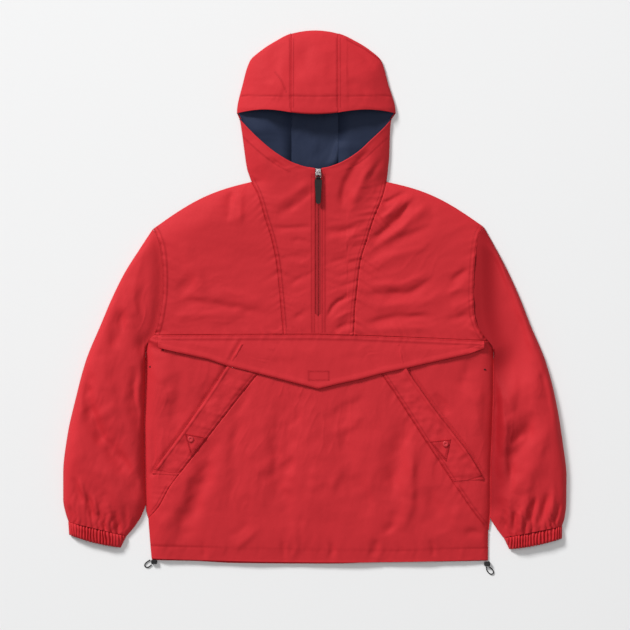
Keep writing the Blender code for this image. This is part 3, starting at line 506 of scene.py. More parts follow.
def hood_seam(side):
    """Seam between the hood's centre and its side, on the top layer."""
    return np.array([(HOOD_SEAM_X[side], 336), (HOOD_SEAM_X[side], 489)], float)


def opening(side):
    """Edge of the face opening from the zip out to the fold of the hood."""
    rows = [(row[1 + side], row[1]) for row in STRIP_ROWS if row[1 + side]]
    corner = (float(read(HOOD_EDGE, side, OPENING_CORNER_Y)), OPENING_CORNER_Y)
    return trace([(ZIP_X + sign(side) * ZIP_SLOT, 236)] + rows + [corner], 10)


def seams():
    """Line, side of the stitched band (1 is right of the line), width of the band, depth of
    the crease, height of the puckers, their reach on either side and their size."""
    made = []
    for side in (LEFT, RIGHT):
        strong = 1.0 if side == LEFT else 1.5
        made.append((princess(side), -sign(side), 7, 1.0, 1.2 * strong, 15 + 8 * (side == RIGHT), 5.5))
        made.append((armhole(side), -sign(side), 9, 0, 1.5, 18, 8))
        made.append((diagonal(side), sign(side), 7, 0.9, 1.1, 13, 6.5))
        made.append((hood_seam(side), 0, 4, 0.7, 0.4, 7, 6))
    made.append((np.array(CHEST_LINE, float), 0, 0, 0.9, 1.4, 14, 8))
    return made


OUTLINE = outline()
SEAMS = seams()


def fold_relief(x, y, folds, seed=0):
    """Troughs and ridges along listed lines, which fade towards both ends."""
    z = np.zeros(np.shape(x))
    for k, (line, half_width, tall) in enumerate(folds):
        line = trace(line, 14)
        near = close_to(x, y, line, 3.5 * half_width)
        if not near.any():
            continue
        nx, ny = x[near], y[near]
        off, along = nearest(nx, ny, line)
        whole = lengths(line)[-1]
        off = off + 0.22 * half_width * noise(nx, ny, 24, seed + k)
        width = half_width * (1 + 0.25 * noise(nx, ny, 30, seed + k + 0.5))
        width = width * np.where(off > 0, 1.2, 0.8)
        ends = np.sqrt(ramp(along, -2, 0.35 * whole) * ramp(whole - along, -2, 0.35 * whole))
        z[near] += tall * ends * bell(off, width) * (1 + 0.3 * noise(nx, ny, 17, k))
    return z


def crumple(x, y, seed=0, angle=90.0):
    """Small uneven wrinkles of a crisp nylon smoothed out by hand, longest along an angle."""
    warp_x = x + 7 * noise(x, y, 42, seed + 3)
    warp_y = y + 7 * noise(x, y, 37, seed + 5)
    turn = np.radians(angle)
    along = (warp_x * np.cos(turn) + warp_y * np.sin(turn)) / 2.7
    across = warp_y * np.cos(turn) - warp_x * np.sin(turn)
    broad = 0.62 * noise(across, along, 50, seed)
    middle = 0.36 * noise(across, along, 21, seed + 1)
    sharp = 1 - np.abs(noise(across, along, 15, seed + 2))
    where = ramp(noise(x, y, 70, seed + 4), -0.35, 0.55)
    fine = 0.13 * noise(across, along, 8, seed + 6) + 0.06 * noise(x, y, 3.9, seed + 7)
    return broad + middle * (0.5 + where) + 0.42 * (sharp**5 - 0.3) * where + fine


def front_crumple(x, y):
    """Wrinkles run down the lower front and across the yokes and strips."""
    low = crumple(x, y, 0, 84.0)
    high = crumple(x, y, 12, np.where(x > 60, 24.0, 4.0))
    return low + (high - low) * ramp(y, -82, -62) * (1 - 0.5 * ramp(y, 330, 345))


def pucker(off, along, tall, reach, size, seed):
    """Short gathers that run off a seam on both sides."""
    skew = along + 0.5 * np.abs(off)
    across = np.zeros_like(off)
    local = reach * (0.75 + 0.55 * noise(along, across, 3 * size, seed + 1))
    fade = np.exp(-np.abs(off) / local) * (1 - 0.55 * np.exp(-np.abs(off) / 1.2))
    wave = noise(skew, across, size, seed) + 0.5 * noise(skew, across, size * 0.47, seed + 2)
    return tall * wave * fade


def band_relief(off, width):
    """A band of turned cloth beside a seam, sewn down along both its edges."""
    body = 0.55 * ramp(off, 0, 1.4) * (1 - ramp(off, width - 0.6, width + 0.9))
    grooves = bell(off - 1.7, 0.8) + bell(off - width + 0.7, 0.8)
    return body - 0.6 * grooves


def from_outline(x, y):
    """Distance to the outline of the laid garment."""
    edge = np.full(np.shape(x), 1e9)
    for line in OUTLINE:
        edge = np.minimum(edge, np.abs(nearest(x, y, line)[0]))
    return edge


def loft(edge, y):
    """Height of the front at a distance inside the outline, without its creases."""
    return read(LOFT, 1, y) + read(LOFT, 2, y) * (1 - np.exp(-edge / read(LOFT, 3, y)))


def smooth_front(x, y):
    """Height of the front without its creases."""
    return loft(from_outline(x, y), y)


def front(x, y, bands=()):
    """Outer face of the front, in all its creases; bands are the seams whose band it carries."""
    x, y = np.asarray(x, float), np.asarray(y, float)
    edge = from_outline(x, y)
    z = loft(edge, y)
    calm = ramp(edge, 0, 22)
    from_zip = np.hypot(x - ZIP_X, np.maximum(np.maximum(ZIP_BOTTOM_Y - y, y - 240), 0))
    calm = calm * (0.25 + 0.75 * ramp(from_zip, 5, 20))
    z = z + calm * (FOLD_GAIN * fold_relief(x, y, FOLDS) + FOLD_GAIN * front_crumple(x, y))
    z = z + (1 - calm) * 0.5 * noise(x, y, 13, 9) * ramp(edge, 1, 9)
    for k, (line, side, width, crease, tall, reach, size) in enumerate(SEAMS):
        near = close_to(x, y, line, 60)
        if not near.any():
            continue
        off, along = nearest(x[near], y[near], line)
        fade = ramp(edge[near], 0, 6)
        relief = pucker(off, along, tall, reach, size, 20 + k) * fade
        relief = relief - crease * bell(off, 1.1)
        if k in bands:
            relief = relief + band_relief(off * side if side else np.abs(off), width)
        z[near] += relief
    return z


PRINCESS_SEAM = {LEFT: 0, RIGHT: 4}
ARMHOLE_SEAM = {LEFT: 1, RIGHT: 5}
DIAGONAL_SEAM = {LEFT: 2, RIGHT: 6}
CROWN_SEAM = {LEFT: 3, RIGHT: 7}


def stitched(x, y, line, width=1.1, depth=0.7):
    """Groove of a topstitched line."""
    off, _ = nearest(x, y, line)
    return -depth * bell(off, width)

# ---------------------------------------------------------------- meshes


def grid_mesh(name, points, holes=None, flip=False):
    """A mesh through rows of points; holes marks the cells that are left out."""
    rows, columns = points.shape[:2]
    bm = bmesh.new()
    bmesh.ops.create_grid(bm, x_segments=columns - 1, y_segments=rows - 1, size=1)
    if holes is not None:
        out = []
        for face in bm.faces:
            centre = face.calc_center_median()
            row = int((centre.y + 1) / 2 * (rows - 1))
            if holes[row, int((centre.x + 1) / 2 * (columns - 1))]:
                out.append(face)
        bmesh.ops.delete(bm, geom=out, context="FACES")
    mesh = bpy.data.meshes.new(name)
    bm.to_mesh(mesh)
    flat = np.empty(len(mesh.vertices) * 3, np.float32)
    mesh.vertices.foreach_get("co", flat)
    column = np.rint((flat[0::3] + 1) / 2 * (columns - 1)).astype(int)
    row = np.rint((flat[1::3] + 1) / 2 * (rows - 1)).astype(int)
    mesh.vertices.foreach_set("co", (points[row, column] * MM).astype(np.float32).ravel())
    bm.free()
    bm = bmesh.new()
    bm.from_mesh(mesh)
    bmesh.ops.remove_doubles(bm, verts=bm.verts, dist=4e-6)
    if flip:
        bmesh.ops.reverse_faces(bm, faces=bm.faces)
    bm.to_mesh(mesh)
    bm.free()
    mesh.shade_smooth()
    return mesh


def place(name, mesh, look, body=GARMENT):
    """An object of the mesh, with its material, moving with a body."""
    obj = bpy.data.objects.new(name, mesh)
    bpy.context.scene.collection.objects.link(obj)
    mesh.materials.clear()
    mesh.materials.append(look)
    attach(obj, body)
    return obj


def painted_crease_shade(node, x, y):
    """How much painted shade darkens the cloth, from 0 to 1: along its stitches, in place of the shadow in
    their grooves, and in the right sleeve's valley, in place of the shadow of the body's edge.
    """
    shade = np.zeros(x.shape)
    for line, _, panels in seam_lines():
        if any(node.startswith(panel) for panel in panels):
            shade += painted_shade_along(x, y, line, 1.3, 0.5, 6)
    # painted shadow of the body's edge on the right sleeve, along the armhole and down the valley beside
    # the body
    if node == "sleeve_right":
        shade += painted_shade_along(x, y, np.concatenate([armhole(RIGHT), PAINTED_SHADOW_VALLEY]), 24, 0.62, 60)
    return np.minimum(shade, 0.8)


def painted_shade_along(x, y, line, reach, amount, margin):
    """Painted shade along a line, on points within a margin of it."""
    near = close_to(x, y, line, margin)
    made = np.zeros(x.shape)
    if near.any():
        made[near] = amount * bell(nearest(x[near], y[near], line)[0], reach)
    return made


def cloth(name, points, look, node, slot="shell_cloth", flip=False, holes=None):
    """A panel with its thickness."""
    mesh = grid_mesh(name, points, holes, flip)
    # painted shade on the outer cloth, stored in the crease attribute: along the stitches and in the right
    # sleeve's valley
    if slot == "shell_cloth":
        flat = np.empty(len(mesh.vertices) * 3, np.float32)
        mesh.vertices.foreach_get("co", flat)
        shade = painted_crease_shade(node, flat[0::3] / MM, flat[1::3] / MM)
        mesh.attributes.new("crease", "FLOAT", "POINT").data.foreach_set("value", shade.astype(np.float32))
    obj = place(name, mesh, look)
    wall = obj.modifiers.new("thickness", "SOLIDIFY")
    wall.thickness = bpy.context.scene.anorak.cloth_thickness
    wall.offset = -1
    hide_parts(node)
    return obj


def repeat(name, proto, places, look, body=GARMENT):
    """One joined mesh of copies of a bmesh, each in its own 4 x 4 place in metres."""
    proto.verts.ensure_lookup_table()
    verts = np.array([(*v.co, 1) for v in proto.verts])
    faces = [[v.index for v in f.verts] for f in proto.faces]
    proto.free()
    co = np.einsum("nij,vj->nvi", np.array(places), verts)[..., :3].reshape(-1, 3)
    sizes = np.array([len(f) for f in faces])
    corners = np.concatenate(faces)
    count = len(places)
    mesh = bpy.data.meshes.new(name)
    mesh.vertices.add(len(co))
    mesh.vertices.foreach_set("co", co.astype(np.float32).ravel())
    loops = (corners[None] + np.arange(count)[:, None] * len(verts)).ravel()
    mesh.loops.add(len(loops))
    mesh.loops.foreach_set("vertex_index", loops.astype(np.int32))
    starts = np.concatenate([[0], np.cumsum(np.tile(sizes, count))[:-1]])
    mesh.polygons.add(len(starts))
    mesh.polygons.foreach_set("loop_start", starts.astype(np.int32))
    mesh.update(calc_edges=True)
    mesh.shade_smooth()
    return place(name, mesh, look, body)


def frames(points, directions):
    """4 x 4 places: x along the direction, z upwards, at points in mm."""
    x = directions / np.linalg.norm(directions, axis=1, keepdims=True)
    normals = np.tile((0.0, 0.0, 1.0), (len(points), 1))
    z = normals - (normals * x).sum(1, keepdims=True) * x
    z = z / np.linalg.norm(z, axis=1, keepdims=True)
    made = np.zeros((len(points), 4, 4))
    made[:, :3, 0], made[:, :3, 1], made[:, :3, 2] = x, np.cross(z, x), z
    made[:, :3, 3] = np.asarray(points) * MM
    made[:, 3, 3] = 1
    return made


def offset(line, by):
    """The line moved sideways, to the right of its direction."""
    line = np.array(line, float)
    run = np.gradient(line, axis=0)
    run = run / np.linalg.norm(run, axis=1, keepdims=True)
    return line + by * np.stack([run[:, 1], -run[:, 0]], -1)


def stitch_places(line, surface, pitch=3.1):
    """Places of stitches along a line of (x, y), on a surface z(x, y)."""
    fine = trace(line, 1.0)
    along = lengths(fine)
    at = np.arange(pitch / 2, along[-1], pitch)
    xy = np.stack([np.interp(at, along, fine[:, k]) for k in (0, 1)], -1)
    ahead = np.stack([np.interp(at + 0.6, along, fine[:, k]) for k in (0, 1)], -1)
    back = np.stack([np.interp(at - 0.6, along, fine[:, k]) for k in (0, 1)], -1)
    z = surface(xy[:, 0], xy[:, 1])
    z_ahead, z_back = surface(ahead[:, 0], ahead[:, 1]), surface(back[:, 0], back[:, 1])
    directions = np.column_stack([ahead - back, z_ahead - z_back])
    points = np.column_stack([xy, z + 0.1])
    return frames(points, directions)


def thread(length=2.3, radius=0.3):
    """One stitch, lying along x."""
    bm = bmesh.new()
    bmesh.ops.create_icosphere(bm, subdivisions=1, radius=1)
    bmesh.ops.scale(bm, vec=Vector((length / 2, radius, radius * 0.8)) * MM, verts=bm.verts)
    return bm


# ---------------------------------------------------------------- panels


def fan(outers, inners, bows, spacing, across, sharp=False):
    """Fine rows of (x, y) between two edges, through the pattern's rows."""
    outers, inners = np.array(outers, float), np.array(inners, float)
    along = lengths((outers + inners) / 2)
    at = steps(0, along[-1], spacing)
    every = np.column_stack([outers, inners, np.broadcast_to(bows, len(outers))])
    if sharp:
        at = np.unique(np.concatenate([at, along]))
        made = np.column_stack([np.interp(at, along, column) for column in every.T])
    else:
        made = smooth(along, every, at)
    outer, inner, bow = made[:, 0:2], made[:, 2:4], made[:, 4]
    share = shares(np.linalg.norm(inner - outer, axis=1), across)
    points = outer[:, None] + (inner - outer)[:, None] * share[..., None]
    points[..., 1] += bow[:, None] * np.sin(math.pi * share)
    return points


def raised(points, z):
    """Points of (x, y) at heights."""
    return np.concatenate([points, np.asarray(z)[..., None]], -1)


def on_front(points, bands=()):
    """Points of (x, y) laid on the creased front."""
    return raised(points, front(points[..., 0], points[..., 1], bands))


def meet(points, end, edge_x):
    """Shift rows of (x, y) so that their first (0) or last (-1) points lie on a seam x(y)."""
    miss = edge_x(points[:, end, 1]) - points[:, end, 0]
    share = np.linspace(0, 1, points.shape[1])
    share = share if end else 1 - share
    points[..., 0] += miss[:, None] * share
    return points


def diagonal_x(side):
    """x of the diagonal seam at a height."""
    line = pair(DIAGONAL, side)
    return lambda y: np.interp(y, *trace(line, 4)[:, ::-1].T)


def back_points():
    """The back, flat, a little wider than the front's hem."""
    ys = steps(-495.5, NECK_Y - 0.5, 6)
    edges = []
    for side in (LEFT, RIGHT):
        line = [(row[side], row[0]) for row in SIDE_SEAM[:-1]] + list(pair(ARMHOLE, side)[::-1])
        line = np.array(line + list(shoulder(side)[1:]))
        edges.append(np.interp(ys, line[:, 1], line[:, 0]))
    left, right = np.array(edges) + np.array([[0.4], [-0.4]])
    share = np.linspace(0, 1, 100)
    x = left[:, None] + (right - left)[:, None] * share
    hem_bow = -4 * np.sin(math.pi * share) * (1 - ramp(ys, -495, -440))[:, None]
    y = np.broadcast_to(ys[:, None], x.shape) + 4 * (1 - ramp(ys, -495, -440))[:, None] + hem_bow
    below = 2.6 * ramp(x, -230, -150) * (1 - ramp(x, 40, 120)) + 1.2 * ramp(x, 180, 240)
    y = y - below * (1 - ramp(ys, -495, -470))[:, None]
    return np.stack([x, y, np.full_like(x, 1.0)], -1)


def yoke_points(side):
    """The upper front between the armhole and the princess seam."""
    armholes = pair(ARMHOLE, side)[: CHEST_STATION + 1][::-1]
    outers = armholes - np.array((sign(side) * GAP / 2, 0))
    inners = np.array([(float(read(PRINCESS, side, y)), y) for y in YOKE_ROW_Y])
    inners[0, 1] = -73.4
    bows = SHOULDER_BOW * np.linspace(0, 1, len(inners)) ** 2
    points = fan(outers, inners, bows, 2.7, 2.9)
    meet(points, -1, lambda y: read(PRINCESS, side, y) + sign(side) * GAP / 2)
    return on_front(points, (ARMHOLE_SEAM[side],))


def lower_center_z(x, y):
    """The lower front, with the puckers of its hem."""
    z = front(x, y)
    z = z + stitched(x, y, HEM_STITCH, 1.0, 0.5)
    off, along = nearest(x, y, HEM_STITCH)
    z = z + pucker(off, along, 0.9, 11, 7, 51) * ramp(z, 2, 9)
    return z


def lower_center_points():
    """The lower front between the two diagonal seams."""
    outers = [(float(read(SIDE_SEAM, LEFT, row[0])), row[0]) for row in HEM_ROWS]
    inners = [(float(read(SIDE_SEAM, RIGHT, row[1])), row[1]) for row in HEM_ROWS]
    outers = np.vstack([outers, pair(DIAGONAL, LEFT)])
    inners = np.vstack([inners, pair(DIAGONAL, RIGHT)])
    bows = [row[2] for row in HEM_ROWS] + [0] * len(DIAGONAL)
    points = fan(outers, inners, bows, 3.0, 3.1)
    for side, end in ((LEFT, 0), (RIGHT, -1)):
        low_y = DIAGONAL[0][2 * side - 1]
        upper = points[:, end, 1] > low_y
        points[upper] = meet(points[upper], end, diagonal_x(side))
    return raised(points, lower_center_z(points[..., 0], points[..., 1]))


def side_z(x, y):
    """A side panel sinks beside the pocket's mouth."""
    z = front(x, y)
    for side in (LEFT, RIGHT):
        off, _ = nearest(x, y, trace(pair(MOUTH, side), 12))
        z = z - 1.9 * bell(off, 5) * ramp(z, 3, 9)
    return z


def side_points(side):
    """The lower front outside a diagonal seam."""
    inners = pair(DIAGONAL, side)
    inners = inners + np.array((sign(side) * GAP, GAP))
    outers = [inners[0] + (sign(side) * 0.6, 0.4)]
    outers += [(float(read(SIDE_SEAM, side, y)) + sign(side) * 0.9, y) for y in SIDE_ROW_Y]
    outers += [pair(ARMHOLE, side)[-1], pair(ARMHOLE, side)[CHEST_STATION]]
    outers[-1] = outers[-1] - (0, GAP)
    points = fan(outers, inners, 0, 2.8, 3.0)
    upper = slice(4, None)
    points[upper] = meet(points[upper], -1, lambda y: diagonal_x(side)(y) + sign(side) * GAP)
    return raised(points, side_z(points[..., 0], points[..., 1]))


def pocket_z(side, x, y):
    """Outer face of a pocket's front, whose mouth stands open a little."""
    off, along = nearest(x, y, trace(pair(MOUTH, side), 12))
    off = np.abs(off)
    open_by = 1.8 if side == LEFT else 3.0
    gape = (open_by + 0.8 * noise(along, along * 0, 38, 3)) * bell(off, 8)
    from_seam, _ = nearest(x, y, diagonal(side))
    low_y = MOUTH[-1][2 * side - 1]
    fade = (0.12 + 0.88 * ramp(np.abs(from_seam), 0.5, 12)) * (0.25 + 0.75 * ramp(y - low_y, 1, 14))
    rumple = 0.9 * noise(x, y, 15, 61) + 0.5 * noise(x, y, 8, 62)
    z = front(x, y, (DIAGONAL_SEAM[side],)) + (POCKET_LIFT + gape) * fade + rumple * fade
    lip = band_relief(off, 7) - 1.1 * bell(off, 0.8)
    z = z + stitched(x, y, POCKET_BOTTOM[side])
    return z + lip * (0.3 + 0.7 * fade)


def pocket_points(side):
    """The strip between a diagonal seam and the pocket's mouth."""
    line = pair(DIAGONAL, side)
    line = line[np.argsort(line[:, 1])]
    outers = pair(MOUTH, side)
    inner_y = outers[:, 1] - 3
    inners = np.column_stack([np.interp(inner_y, line[:, 1], line[:, 0]), inner_y])
    inners = inners + (sign(side) * 0.5, 0)
    points = fan(outers, inners, 0, 2.8, 2.6)
    return raised(points, pocket_z(side, points[..., 0], points[..., 1]))


def chest_y(x):
    """The seam across the chest."""
    line = np.array(CHEST_LINE)
    return np.interp(x, line[:, 0], line[:, 1])


def flap_z(x, y):
    """Outer face of the flap, which hangs from the chest seam over the pockets."""
    edge = np.array(FLAP_EDGE)
    low_y = np.interp(x, edge[:, 0], edge[:, 1])
    share = np.clip((chest_y(x) - y) / (chest_y(x) - low_y), 0, 1)
    from_edge = (y - low_y) * 0.96
    z = front(x, y) * 0.55 + 0.45 * smooth_front(x, y)
    z = z + 1.7 + 2.1 * ramp(share, 0, 0.5)
    z = z + band_relief(chest_y(x) - y, 9) + fold_relief(x, y, FLAP_FOLDS, 31)
    z = z + 0.5 * ramp(from_edge, 0, 1.5) * (1 - ramp(from_edge, 8, 10))
    z = z - 0.35 * bell(from_edge - 2, 0.7) + 1.2 * bell(from_edge, 9)
    z = z - 0.9 * bell(from_edge, 0.7)
    wave = noise(x, y * 0, 34, 8) + 0.5 * noise(x, y * 0, 15, 9)
    return z + 0.8 * wave * ramp(share, 0.3, 1.0)


def flap_points():
    """The flap from the chest seam down to its pointed edge."""
    edge = np.array(FLAP_EDGE, float)
    tops = np.column_stack([edge[:, 0], chest_y(edge[:, 0]) - GAP])
    points = fan(tops, edge, 0, 2.9, 2.3, sharp=True)
    return raised(points, flap_z(points[..., 0], points[..., 1]))


def tab_z(side, x, y):
    """Outer face of a tab, stitched down inside its edge."""
    first, second, point, _ = (np.array(p, float) for p in TABS[side])
    ring = np.array([first, second, point, first])
    off = np.min([np.abs(nearest(x, y, ring[k : k + 2])[0]) for k in range(3)], axis=0)
    z = pocket_z(side, x, y) + 1.2
    return z - 0.6 * bell(off, 0.7) - 0.6 * bell(off - 2.6, 0.8)


def tab_points(side):
    """A three-cornered tab."""
    first, second, point, _ = TABS[side]
    almost = np.array(point, float)
    points = fan([first, almost + (-0.5, 0)], [second, almost + (0.5, 0)], 0, 1.6, 1.6, sharp=True)
    return raised(points, tab_z(side, points[..., 0], points[..., 1]))


# ---------------------------------------------------------------- hood


def crown_y(x):
    """The fold over the top of the head."""
    return CROWN_TOP_Y - (CROWN_TOP_Y - CROWN_SIDE_Y) * (x / HOOD_SEAM_X[RIGHT]) ** 2


def brim_y(x):
    """Edge of the hood's centre."""
    return 335 + 3 * (np.minimum(np.abs(x), 43) / HOOD_SEAM_X[RIGHT]) ** 2


def hood_z(x, y, inset=0.0):
    """Outer face of the hood's top layer, or of the lining that far below it."""
    z = front(x, y, (CROWN_SEAM[LEFT], CROWN_SEAM[RIGHT], PRINCESS_SEAM[LEFT], PRINCESS_SEAM[RIGHT]))
    if inset:
        return np.minimum(z, smooth_front(x, y)) - inset - 0.6
    z = z + stitched(x, y, DARTS[0]) + stitched(x, y, DARTS[1])
    for line in (opening(LEFT), opening(RIGHT)):
        off, along = nearest(x, y, line)
        off = np.abs(off)
        z = z - 0.45 * bell(off - CASING, 0.9) * (y < BRIM_Y - 8)
        z = z + pucker(off - CASING, along, 0.55, 9, 6, 61) * (y < BRIM_Y - 8)
        z = z + 0.7 * bell(off, 4) - 0.9 * bell(off, 0.8)
    return z + brim_relief(x, y)


def brim_edge(x):
    """Lower edge of the brim's band."""
    return BRIM_Y + 2.2 * ramp(np.abs(x), 40, 140)


def brim_relief(x, y):
    """The brim's band, sewn down along its upper edge."""
    up = y - brim_edge(x)
    above = ramp(up, -6, 0)
    groove = -0.8 * bell(up - BRIM_BAND, 1.0)
    roll = 0.9 * bell(up - 6, 9)
    wave = pucker(up - BRIM_BAND, x, 0.7, 9, 8, 71)
    return above * (groove + roll + wave)


def hood_side_rows(side, inset, from_neck):
    """Rows of (y on the edge, inner x, inner y, bow, 1 on the crown and 0 below it)."""
    narrow = LINING_NARROWER if inset else 0
    rows = np.array([row for row in STRIP_ROWS if row[0] >= NECK_Y or not from_neck], float)
    low = NECK_Y if from_neck else rows[0, 0]
    at = steps(low, OPENING_CORNER_Y, 2.8)
    beside = ZIP_X + sign(side) * (ZIP_SLOT + narrow)
    closed = ZIP_X + sign(side) * GAP / 2
    inner_x = np.array([row[1 + side] or (beside if row[0] > ZIP_BOTTOM_Y - 1 else closed) for row in rows])
    corner = float(read(HOOD_EDGE, side, OPENING_CORNER_Y))
    inner_y = np.append(rows[:, 1], OPENING_CORNER_Y)
    keys = np.append(rows[:, 0], OPENING_CORNER_Y)
    inner = smooth(keys, np.column_stack([np.append(inner_x, corner), inner_y]), at)
    made = [(y, x, in_y, 0.0, 0) for y, x, in_y in zip(at, inner[:, 0], inner[:, 1])]
    keys = np.array(CROWN_ROWS, float)
    up = steps(keys[0, 0], keys[-1, 0], 2.8)
    crown = smooth(keys[:, 0], keys[:, 1:], up)
    seam_x = HOOD_SEAM_X[side] + sign(side) * GAP / 2
    made += [(y, seam_x, in_y, bow, 1) for y, in_y, bow in zip(up, crown[:, 0], crown[:, 1])]
    return made


UNDER_SHARES = np.array((0, 0.25, 0.5, 0.75, 0.9, 0.955, 0.98, 0.99))  # from the seam to the fold


def under_height(off, inset):
    """The hood's under layer, which lies flat and rises to the fold."""
    return inset + (FOLD_Z - inset) * np.exp(-off / 2.0)


def rolled(z, off):
    """Heights of the top layer, which rolls down to the fold."""
    return FOLD_Z + (z - FOLD_Z) * (1 - np.exp(-(off + 0.15) / 1.5))


def hood_side_points(side, inset=0.0, from_neck=False):
    """Rows from the seam of the under layer out to the fold and back over the top."""
    narrow = LINING_NARROWER if inset else 0
    seam_x = HOOD_SEAM_X[side] + sign(side) * GAP / 2
    rows = np.array(hood_side_rows(side, inset, from_neck))
    edge_y, inner_x, inner_y, bow, on_crown = rows.T[:, :, None]
    hooded = edge_y >= NECK_Y
    below = read(PRINCESS, side, edge_y) - sign(side) * GAP / 2
    edge_x = np.where(hooded, read(HOOD_EDGE, side, edge_y), below)
    slim = np.minimum(narrow, np.abs(edge_x - seam_x) / 2) * sign(side)
    fold_x = edge_x - slim
    under_x = seam_x + (fold_x - seam_x) * UNDER_SHARES
    under_z = under_height(np.abs(fold_x - under_x), inset)
    under = np.stack([under_x, edge_y + 0 * under_x, under_z], -1)
    share = shares(np.hypot(edge_x - inner_x, edge_y - inner_y)[:, 0], 2.9)
    x = edge_x + (inner_x - edge_x) * share - slim * (1 - share) ** 3
    y = edge_y + (inner_y - edge_y) * share + bow * np.sin(math.pi * share)
    z = hood_z(x, y, inset)
    if inset:
        z = np.maximum(z, inset + 2.2)
    z = np.where(hooded, rolled(z, np.abs(x - fold_x)), z)
    points = np.concatenate([under, np.stack([x, y, z], -1)], 1)
    holes = np.zeros((points.shape[0] - 1, points.shape[1] - 1), bool)
    holes[int(np.argmax(on_crown)) - 1, len(UNDER_SHARES) :] = True
    holes[: 0 if from_neck else int(np.argmax(hooded)), : len(UNDER_SHARES)] = True
    return points, holes


def center_points(inset=0.0):
    """Rows from the back of the neck over the crown to the brim."""
    narrow = LINING_NARROWER if inset else 0
    xs = steps(HOOD_SEAM_X[LEFT], HOOD_SEAM_X[RIGHT], 2.9)
    top = crown_y(xs) - narrow
    rows = []
    for y in np.linspace(NECK_Y, 470, 50):
        rows.append(np.column_stack([xs, np.full_like(xs, y), np.full_like(xs, inset)]))
    for back in (12, 7, 4, 2.4, 1.2, 0.4):
        rows.append(np.column_stack([xs, top - back, np.full_like(xs, under_height(back, inset))]))
    for s in np.linspace(0, 1, 60) ** 1.15:
        y = crown_y(xs) + (brim_y(xs) - crown_y(xs)) * s
        z = rolled(hood_z(xs, y, inset), crown_y(xs) - y)
        rows.append(np.column_stack([xs, y - narrow * (1 - s) ** 8, z]))
    return np.array(rows)


def turned_under(points):
    """The rows with the brim's edge turned up inside, after the last row."""
    last = points[-1]
    return np.concatenate([points, [last + (0, dy, dz) for dy, dz in BRIM_TURN]])


def lining_relief(points):
    """Seams and soft folds of the lining where the face opening shows it."""
    x, y = points[..., 0], points[..., 1]
    seen = ramp(y, 232, 246) * (1 - ramp(y, 350, 362)) * (points[..., 2] < 4)
    z = 2.0 * fold_relief(x, y, LINING_FOLDS, 80) + 2.4 + 2.2 * crumple(x, y, 41, 75.0)
    for line in LINING_SEAMS:
        off, along = nearest(x, y, line)
        z = z - 1.0 * bell(off, 1.0) + pucker(off, along, 0.8, 8, 5, 43)
        z = z - 0.4 * bell(np.abs(off) - 4, 0.7)
    points[..., 2] += np.maximum(seen * z, 0)
    return points


# ---------------------------------------------------------------- sleeves


def gathers(u, v, seed):
    """Pleats across a cuff: u is along the cuff, v away from it up the sleeve."""
    drift = 1.1 * noise(v, u, 26, seed) + 0.5 * noise(v, u, 9, seed + 1)
    phase = 2 * math.pi * (u / GATHER_PITCH + drift * 0.5)
    size = 0.75 + 0.45 * noise(u, v * 0, 13, seed + 2)
    return size * (np.abs(np.sin(phase / 2)) ** 0.8 - 0.6)


def sleeve_plan(side):
    """Rows of (x, y) from the armhole to the cuff, the share across, length left and height."""
    line = pair(ARMHOLE, side) + (sign(side) * GAP, 0)
    line[0] += (sign(side) * 0.6, -0.6)
    line[-1] += (sign(side) * 0.8, 0)
    table = np.array(SLEEVE[side], float)
    body_x = read(SIDE_SEAM, side, np.minimum(table[:, 2], -90)) + sign(side) * SLEEVE_CLEARANCE
    beside_body = np.abs(table[:, 3] - body_x) < 5
    table[:, 3] = np.where(beside_body, body_x, table[:, 3])
    edge = EDGE_STEPS / SLEEVE_WIDTH
    share = np.concatenate([edge, np.linspace(edge[-1], 1 - edge[-1], 64)[1:-1], 1 - edge[::-1]])
    rows = [smooth(SLEEVE_POINTS, line, share)]
    for outer_y, outer_x, inner_y, inner_x, bow, _ in table:
        outer, inner = np.array((outer_x, outer_y)), np.array((inner_x, inner_y))
        row = outer + (inner - outer) * share[:, None]
        row[:, 0] -= sign(side) * bow * np.sin(math.pi * share) ** 2
        rows.append(row)
    rows = np.array(rows)
    along = lengths(rows[:, len(share) // 2])
    at = steps(0, along[-1], 2.9)
    xy = smooth(along, rows.reshape(len(rows), -1), at).reshape(len(at), len(share), 2)
    tall = smooth(along, np.concatenate([[ARMHOLE_HEIGHT], table[:, 5]]), at)[:, None]
    return xy, share, (along[-1] - at)[:, None], tall


